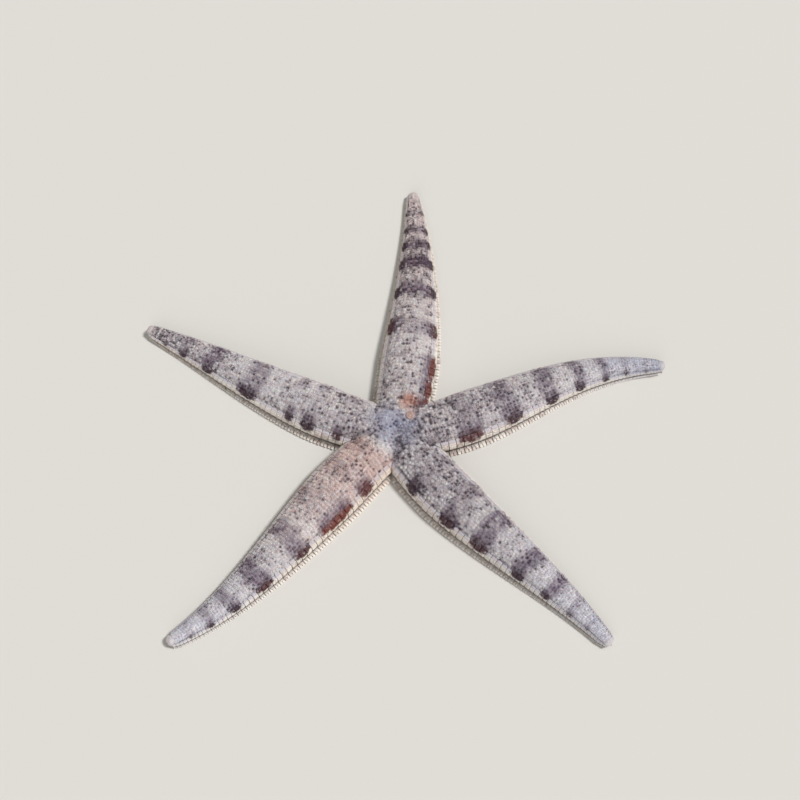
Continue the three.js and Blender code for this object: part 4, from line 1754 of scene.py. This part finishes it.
@dataclass
class Underside:
    """The plates and spines along the grooves, and the tube feet in them."""

    pitch: float = 1.3
    tip_pitch: float = 0.42  # share of it at the tip
    plate_length: float = 1.1
    start: float = 0.05
    foot_pitch: float = 1.5
    foot_range: Pair = (0.07, 0.9)
    groove_edge: float = 1.77  # out of the groove's edge at the shoulder, where feet have their full breadth
    seed: int = 31

    def _furrow_plate(self) -> Shape:
        """Builds an adambulacral plate.

        Returns:
            The plate with its three furrow spines and two short ones below.
        """
        outline = [(1.82, 0.12), (2.72, 0.06), (2.74, 0.42), (1.84, 0.75)]
        shapes = [slab(outline, self.plate_length, 0.08, (0.006, 0.006))]
        spine = blade(0.72, 0.26, 0.16, 0.003)
        for i, x in enumerate((-0.34, 0.0, 0.34)):
            place = standing((x, 1.88, 0.52), (x * 0.25, -0.62, -0.26))
            shapes.append(spine.moved(place, (0.004 * (i - 1), 0.008)))
        grain = granule(0.2, 0.5, 0.003)
        for i, x in enumerate((-0.27, 0.27)):
            shapes.append(grain.moved(standing((x, 2.25, 0.14)), (0.004 * (i - 0.5), -0.008)))
        return Shape.joined(shapes)

    def _floor_plate(self, near: float, far: float) -> Shape:
        """An actinal plate with four granules below.

        Args:
            near: Its edge towards the groove.
            far: Its edge towards the margin.

        Returns:
            The plate.
        """
        outline = [(near, 0.12), (far, 0.12), (far, 0.4), (near, 0.4)]
        shapes = [slab(outline, self.plate_length, 0.07, (0.006, 0.006))]
        grain = granule(0.19, 0.4, 0.002)
        for i, (x, share) in enumerate(((-0.3, 0.3), (0.25, 0.25), (-0.22, 0.75), (0.32, 0.7))):
            place = standing((x, near + (far - near) * share, 0.13))
            shapes.append(grain.moved(place, (0.003 * (i - 1.5), -0.007)))
        return Shape.joined(shapes)

    def _foot(self) -> Shape:
        """A tube foot of unit length, hanging from the origin and ending in a small sucker."""
        outline = [(0, 0), (0.2, 0), (0.17, -0.3), (0.13, -0.72), (0.1, -0.86), (0.17, -0.95), (0, -1)]
        return Shape.made(lathe(outline, 7), 0.004)

    def _warped(self, shape: Shape, arm: Arm, side: Side, s: Array) -> tuple[Array, Array]:
        """Copies of a shape along one side of an arm.

        Args:
            shape: The shape, as at the shoulder.
            arm: The arm.
            side: Its side.
            s: Where the copies stand.

        Returns:
            The copies' vertices, and the s of each copy.
        """
        profile = arm.profile
        share = profile.pitch_share(s, self.tip_pitch)
        breadth = profile.half_width(s) / profile.shoulder_half_width
        along = s[:, None] + shape.points[None, :, 0] * share[:, None] / arm.pose.length
        out = side.value * shape.points[None, :, 1] * breadth[:, None]
        placed = arm.place(along, out, np.broadcast_to(shape.points[None, :, 2], out.shape))
        middle = arm.place(s, side.value * shape.points[:, 1].mean() * breadth, 0 * s)
        kept = arm.inside(middle) > 0.25
        return arm.pressed(placed[kept], 0.08), s[kept]

    def build(self, star: Star) -> tuple[list[Piece], list[Piece]]:
        """Builds the underside of every arm.

        Args:
            star: The arms.

        Returns:
            The pieces of plates, and those of tube feet.
        """
        rng = np.random.default_rng(self.seed)
        furrow = self._furrow_plate()
        inner, outer = self._floor_plate(2.84, 3.62), self._floor_plate(3.7, 4.48)
        plates, feet = [], []
        for arm in star.arms:
            copies = Copies(f"furrow_plates_{arm.pose.name}", ("tone",))
            for number, (shape, end) in enumerate(((furrow, 0.95), (inner, 0.86), (outer, 0.6))):
                stations = arm.stations(self.start, end, self.pitch, self.tip_pitch)
                for side in Side:
                    placed, s = self._warped(shape, arm, side, stations)
                    lane = 0.1 + 0.25 * number + 0.1 * (side is Side.LEFT)
                    tone = rng.normal(0.7, 0.1, (len(s), shape.members))
                    copies.add(shape.facing(side), placed, in_lane(s, lane), tone=tone)
            piece = copies.build(sharp=50)
            plates.append(piece)
            feet.append(self._feet(arm, rng))
        return plates, feet

    def _feet(self, arm: Arm, rng: Rng) -> Piece:
        """Builds the two rows of tube feet of one arm.

        Args:
            arm: The arm.
            rng: Source of chance.

        Returns:
            The piece.
        """
        profile, foot = arm.profile, self._foot()
        copies = Copies(f"tube_feet_{arm.pose.name}", ("tone",))
        s = arm.stations(*self.foot_range, self.foot_pitch, self.tip_pitch)
        groove = profile.half_width(s) * profile.groove_half_width
        roof = profile.height(s) * profile.groove_depth * 0.86
        for side in Side:
            origins = arm.place(s, side.value * groove * 0.42, roof)
            along, across = arm.axes(s)
            lean = across * side.value * rng.uniform(-0.05, 0.2, (len(s), 1))
            lean += along * rng.normal(0, 0.12, (len(s), 1))
            up = np.array([0, 0, 1.0]) - lean
            breadth = groove / self.groove_edge
            length = np.maximum(0.3, roof - rng.uniform(0.22, 0.6, len(s)) * np.minimum(1, roof / 1.5))
            axes = frames_about(up, along, rng.uniform(0, math.tau, len(s)), np.ones(len(s)))
            axes[:, :2] *= breadth[:, None, None] * 1.15
            axes[:, 2] *= length[:, None]
            lane = 0.3 if side is Side.RIGHT else 0.7
            copies.add(foot, rigid(foot, origins, axes), in_lane(s, lane), tone=rng.normal(0.7, 0.1, len(s)))
        piece = copies.build()
        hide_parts(f"{arm.pose.name}_tube_feet")
        return piece

    def dress(self, plates: list[Piece], feet: list[Piece]) -> None:
        """Gives plates and feet their materials."""
        paint(plates, PlainCalcite("underside_calcite").material())
        paint(feet, TubeFootSkin().material())


# ---- Mouth, madreporite and end plates ----


@dataclass
class Mouth:
    """Five pairs of jaws with their spines, round a soft dark mouth."""

    radius: float = 3.05
    opening: float = 0.75  # radius between the jaws' points
    membrane_level: float = 1.5
    membrane_thickness: float = 0.12
    jaw_length: float = 2.35
    spines: int = 4

    def _jaw(self) -> Shape:
        """Builds one jaw.

        Returns:
            The jaw with its spines and granules, pointing towards -x.
        """
        outline = [(0.02, 0.32), (0.72, 0.3), (0.95, 1.5), (0.02, 1.55)]
        shapes = [slab(outline, self.jaw_length, 0.1, (0.05, 0.05))]
        spine, grain = blade(0.7, 0.28, 0.18, 0.01), granule(0.2, 0.5, 0.008)
        for i in range(self.spines):
            root = (-self.jaw_length / 2 + 0.12 + 0.42 * i, 0.15 + 0.2 * i, 0.62)
            shapes.append(spine.moved(standing(root, (-0.75, 0.1 - 0.05 * i, -0.12)), (0.012 * i, 0.04)))
        for i, (x, y) in enumerate(((-0.6, 0.3), (-0.1, 0.35), (0.4, 0.4), (0.85, 0.45))):
            shapes.append(grain.moved(standing((x, y, 0.34)), (0.012 * i, -0.04)))
        return Shape.joined(shapes)

    def build(self, star: Star) -> list[Piece]:
        """Builds the jaws and the membrane.

        Args:
            star: The arms.

        Returns:
            The jaws and the membrane.
        """
        copies = Copies("mouth_jaws", ())
        jaw = self._jaw()
        middle = self.opening + self.jaw_length / 2
        for number, arm in enumerate(star.arms):
            angle = arm.sector[0]
            away = np.array([math.cos(angle), math.sin(angle), 0])
            left = np.array([-math.sin(angle), math.cos(angle), 0])
            for side in Side:
                origin = np.array([*star.centre, 0]) + away * middle + left * 0.04 * side.value
                axes = np.array([away, left * side.value, [0, 0, 1]])[None]
                chart = np.array([[0.12 + 0.17 * number, 0.25 if side is Side.LEFT else 0.7]])
                copies.add(jaw.facing(side), rigid(jaw, origin[None], axes), chart)
        jaws = copies.build(sharp=50)
        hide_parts("mouth")
        return [jaws, self._membrane(star)]

    def _membrane(self, star: Star) -> Piece:
        """Builds the soft skin round the mouth, drawn in to the opening at its middle.

        Args:
            star: The arms.

        Returns:
            The piece.
        """
        outline = [(self.radius, 0.35), (2.1, 0.1), (1.2, -0.05), (0.55, 0.0), (0.38, 0.25), (0.34, 0.7)]
        bm = lathe([(r, self.membrane_level + z) for r, z in outline], 40)
        bmesh.ops.recalc_face_normals(bm, faces=bm.faces)
        bmesh.ops.solidify(bm, geom=bm.faces[:], thickness=self.membrane_thickness)
        for vertex in bm.verts:
            fold = math.sin(10 * math.atan2(vertex.co.y, vertex.co.x))
            vertex.co.z += 0.06 * fold * min(1.0, math.hypot(vertex.co.x, vertex.co.y))
        bmesh.ops.translate(bm, vec=(*star.centre, 0), verts=bm.verts)
        piece = as_piece("mouth_membrane", bm)
        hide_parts("mouth")
        return piece

    def dress(self, pieces: list[Piece]) -> None:
        """Gives jaws and membrane their materials.

        Args:
            pieces: The jaws and the membrane.
        """
        jaws, membrane = pieces
        bone = PlainCalcite("jaw_calcite", ground="#eadcc2", hollow="#c8b08c")
        skin = PlainCalcite("mouth_membrane_skin", 0.4, roughness=0.35, ground="#a58469", hollow="#7c5d49")
        paint([jaws], bone.material())
        paint([membrane], skin.material())


@dataclass
class Madreporite:
    """The round sieve plate between two arms: a low dome with branching furrows towards its rim."""

    radius: float = 1.25
    dome: float = 0.34
    furrows: int = 15
    furrow_depth: float = 0.09
    tilt: float = 17.0  # degrees by which it leans outwards
    sunk: float = 0.2  # how far its top lies below that of the CAD's plate

    def build(self, star: Star) -> Piece:
        """Builds the plate in its place.

        Args:
            star: The arms.

        Returns:
            The piece.
        """
        outline = [(0.0, self.dome)]
        for share in np.linspace(0.12, 0.96, 9):
            outline.append((self.radius * share, self.dome * math.sqrt(1 - (0.93 * share) ** 2)))
        outline += [(self.radius, 0.0), (self.radius, -0.45), (0.0, -0.45)]
        bm = lathe(outline, self.furrows * 6)
        for vertex in bm.verts:
            reach = math.hypot(vertex.co.x, vertex.co.y) / self.radius
            if vertex.co.z > 0 and reach > 0.1:
                turn = self.furrows * (math.atan2(vertex.co.y, vertex.co.x) + 0.35 * math.sin(5 * reach))
                wave = math.sin(turn) + 0.6 * math.sin(2 * turn + 1) * (reach > 0.5)
                vertex.co.z -= self.furrow_depth * (0.5 + 0.5 * wave) * min(1, (reach - 0.1) * 3)
        bmesh.ops.recalc_face_normals(bm, faces=bm.faces)
        low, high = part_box("madreporite")
        middle = (low + high) / 2 / MM
        turn = math.atan2(middle.y - star.centre[1], middle.x - star.centre[0])
        seat = Matrix.Translation((middle.x, middle.y, high.z / MM - self.dome - self.sunk))
        place = seat @ Matrix.Rotation(turn, 4, "Z") @ Matrix.Rotation(math.radians(self.tilt), 4, "Y")
        bmesh.ops.transform(bm, matrix=place, verts=bm.verts)
        piece = as_piece("madreporite_plate", bm)
        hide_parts("madreporite")
        return piece

    def dress(self, piece: Piece) -> None:
        """Gives the plate its material."""
        calcite = PlainCalcite("sieve_plate_calcite", 0.25, ground="#cfb3ab", hollow="#8f7670")
        paint([piece], calcite.material())


@dataclass
class EndPlates:
    """The blunt plate at each tip, set with granules, with the eye spot under its end."""

    length: float = 1.9
    spread: float = 0.68  # its half-breadth as a share of the arm's at its end
    tallness: float = 0.78
    clearance: float = 0.05
    body_share: float = 0.93  # size of the body under the granules
    granules: int = 150
    covered: float = 1.75  # how far down from the top they reach, in half heights
    eye_radius: float = 0.2
    seed: int = 53

    def _knob(self, arm: Arm) -> tuple[Array, Array]:
        """The plate's middle and its axes.

        Args:
            arm: The arm.

        Returns:
            The middle, and the three half axes as rows.
        """
        end = np.array(arm.profile.arm_end)
        tall = float(arm.profile.height(end)) / 2
        middle = arm.place(end, np.array(0.0), np.array(tall + self.clearance))
        along, across = arm.axes(end)
        half = float(arm.profile.half_width(end)) * self.spread
        return middle, np.array([along * self.length / 2, across * half, [0, 0, tall * self.tallness]])

    def build(self, star: Star) -> tuple[list[Piece], list[Piece]]:
        """Builds the plates and the eye spots.

        Args:
            star: The arms.

        Returns:
            The end plates and the eye spots.
        """
        rng = np.random.default_rng(self.seed)
        bm = bmesh.new()
        bmesh.ops.create_icosphere(bm, subdivisions=3, radius=1)
        body = Shape.made(bm, 0.5)
        grain = granule(0.12, 0.45, 0.02)
        n = np.arange(self.granules)
        level, turn = 1 - self.covered * (n + 0.5) / self.granules, (n + 0.5) * GOLDEN_ANGLE
        ring = np.sqrt(1 - level**2)
        on_ball = np.stack([ring * np.cos(turn), ring * np.sin(turn), level], -1)
        charts = np.stack([0.62 + 0.025 * (n % 14), 0.06 + 0.08 * (n // 14)], -1)
        plates, eyes = [], []
        for arm in star.arms:
            middle, axes = self._knob(arm)
            inner = axes * self.body_share
            origins = middle + on_ball @ inner
            normals = on_ball @ (axes / (axes**2).sum(1)[:, None])
            along = np.tile(axes[0], (self.granules, 1))
            frames = frames_about(normals, along, turn, rng.uniform(0.75, 1.0, self.granules))
            light = 0.6 * arm.pose.light[-1]
            facts = {"stain": 0, "red": 0, "tint": 0.5 * arm.pose.warmth[-1], "back": 0.5, "hollow": 0}
            copies = Copies(f"end_plate_{arm.pose.name}", MarginalCalcite.FACTS)
            ball = rigid(body, middle[None], inner[None])
            copies.add(body, ball, np.array([[0.3, 0.3]]), tone=0.3 + light, **facts)
            tone = rng.normal(0.5 + light, 0.18, self.granules)
            copies.add(grain, rigid(grain, origins, frames), charts, tone=tone, **facts)
            piece = copies.build()
            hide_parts(f"{arm.pose.name}_eye")
            plates.append(piece)
            eyes.append(self._eye(arm, middle, axes))
        return plates, eyes

    def _eye(self, arm: Arm, middle: Array, axes: Array) -> Piece:
        """A small cushion of eye cups under the end of the plate.

        Args:
            arm: The arm.
            middle: The plate's middle.
            axes: Its half axes.

        Returns:
            The piece.
        """
        bm = bmesh.new()
        bmesh.ops.create_icosphere(bm, subdivisions=2, radius=self.eye_radius)
        bmesh.ops.scale(bm, vec=(1, 1.3, 0.8), verts=bm.verts)
        turn = Matrix.Rotation(math.atan2(axes[0][1], axes[0][0]), 4, "Z")
        at = middle + axes[0] * 0.78 - axes[2] * 0.5
        bmesh.ops.transform(bm, matrix=Matrix.Translation(Vector(at)) @ turn, verts=bm.verts)
        piece = as_piece(f"eye_spot_{arm.pose.name}", bm)
        return piece

    def dress(self, plates: list[Piece], eyes: list[Piece]) -> None:
        """Gives plates and eye spots their materials.

        Args:
            plates: The end plates.
            eyes: The eye spots.
        """
        spot = PlainCalcite("eye_spot_pigment", 0.06, roughness=0.35, ground="#8e3f2a", hollow="#6b2b1c")
        paint(plates, MarginalCalcite("end_plate_calcite").material())
        paint(eyes, spot.material())


# ---- Stage ----


@dataclass(frozen=True)
class Lamp:
    """A soft distant lamp, which lights the whole floor alike."""

    name: str
    azimuth: float  # its direction from the model, in degrees from +X towards +Y
    elevation: float  # its height above the floor, in degrees
    strength: float  # watts that fall on a square metre facing it
    spread: float  # how broad it looks from the model, in degrees

    def build(self) -> None:
        """Hangs the lamp."""
        light = bpy.data.lights.new(self.name, "SUN")
        light.energy = self.strength
        light.angle = math.radians(self.spread)
        lamp = bpy.data.objects.new(self.name, light)
        around, above = math.radians(self.azimuth), math.radians(self.elevation)
        flat = math.cos(above)
        towards = Vector((math.cos(around) * flat, math.sin(around) * flat, math.sin(above)))
        lamp.rotation_euler = towards.to_track_quat("Z", "Y").to_euler()
        bpy.context.scene.collection.objects.link(lamp)


@dataclass
class Stage:
    """The floor, the lamps and the camera."""

    floor_size: float = 4.0
    floor_colour: str = "#dedbd5"
    world_strength: float = 0.27
    lamps: tuple[Lamp, ...] = (Lamp("key", -2.0, 58.0, 2.36, 11.8), Lamp("fill", -100.0, 28.0, 0.67, 42.0))
    elevation: float = 62.0  # of the camera above the floor, in degrees
    lens: float = 54.0
    distance: float = 284.3
    aside: float = 0.95  # where the camera aims, to the right of the disc's centre
    above: float = 9.24  # and up from it in the picture

    def floor(self) -> None:
        """Builds the floor."""
        bm = bmesh.new()
        bmesh.ops.create_grid(bm, x_segments=1, y_segments=1, size=self.floor_size / 2)
        mesh = bpy.data.meshes.new("floor")
        bm.to_mesh(mesh)
        bm.free()
        floor = bpy.data.objects.new("floor", mesh)
        bpy.context.scene.collection.objects.link(floor)
        material, tree = new_material("matt_studio_floor")
        colour = linear(self.floor_colour)
        surface = add_node(tree, "BsdfPrincipled", 0, Base_Color=colour, Roughness=0.9)
        add_node(tree, "OutputMaterial", Surface=surface)
        paint([floor], material)

    def world(self) -> None:
        """Lights the scene evenly, over a backdrop of the floor's own colour."""
        world = bpy.data.worlds.new("studio")
        world.use_nodes = True
        tree = world.node_tree
        tree.nodes.clear()
        lit = add_node(tree, "Background", 0, Color=(1, 1, 1, 1), Strength=self.world_strength)
        seen = add_node(tree, "Background", 0, Color=linear(self.floor_colour), Strength=1.0)
        camera = add_node(tree, "LightPath", "Is Camera Ray")
        glossy = add_node(tree, "LightPath", "Is Glossy Ray")
        shown_to = add_node(tree, "Math", 0, {"operation": "MAXIMUM"}, i0=camera, i1=glossy)
        both = add_node(tree, "MixShader", 0, i0=shown_to, i1=lit, i2=seen)
        add_node(tree, "OutputWorld", Surface=both)
        bpy.context.scene.world = world

    def camera(self, star: Star) -> None:
        """Places the camera above and in front of the disc.

        Args:
            star: The arms.
        """
        angle = math.radians(self.elevation)
        back = Vector((0, -math.cos(angle), math.sin(angle)))
        up = Vector((0, math.sin(angle), math.cos(angle)))
        data = bpy.data.cameras.new("camera")
        data.lens = self.lens
        data.sensor_width = 36
        data.clip_start = 0.01
        camera = bpy.data.objects.new("camera", data)
        middle = Vector((*star.centre, 0))
        camera.location = (middle + Vector((self.aside, 0, 0)) + up * self.above + back * self.distance) * MM
        camera.rotation_euler = (math.radians(90 - self.elevation), 0, 0)
        bpy.context.scene.collection.objects.link(camera)
        bpy.context.scene.camera = camera

    def build(self, star: Star) -> None:
        """Builds the stage round the model.

        Args:
            star: The arms, for the camera's aim.
        """
        self.floor()
        self.world()
        for lamp in self.lamps:
            lamp.build()
        self.camera(star)
        bpy.context.scene.view_settings.view_transform = "Standard"


def main() -> None:
    """Builds the sand star and its stage."""
    logging.basicConfig(level=logging.INFO, format="%(name)s: %(message)s")
    star = Star()
    skin, coat, margins, underside = Skin(), Paxillae(), Margins(), Underside()
    mouth, madreporite, ends = Mouth(), Madreporite(), EndPlates()
    skin_piece, surface = skin.build(star)
    skin.dress(skin_piece)
    coat.dress(coat.build(star, surface))
    margins.dress(margins.build(star))
    underside.dress(*underside.build(star))
    mouth.dress(mouth.build(star))
    madreporite.dress(madreporite.build(star))
    ends.dress(*ends.build(star))
    Stage().build(star)


if __name__ == "__main__":
    main()
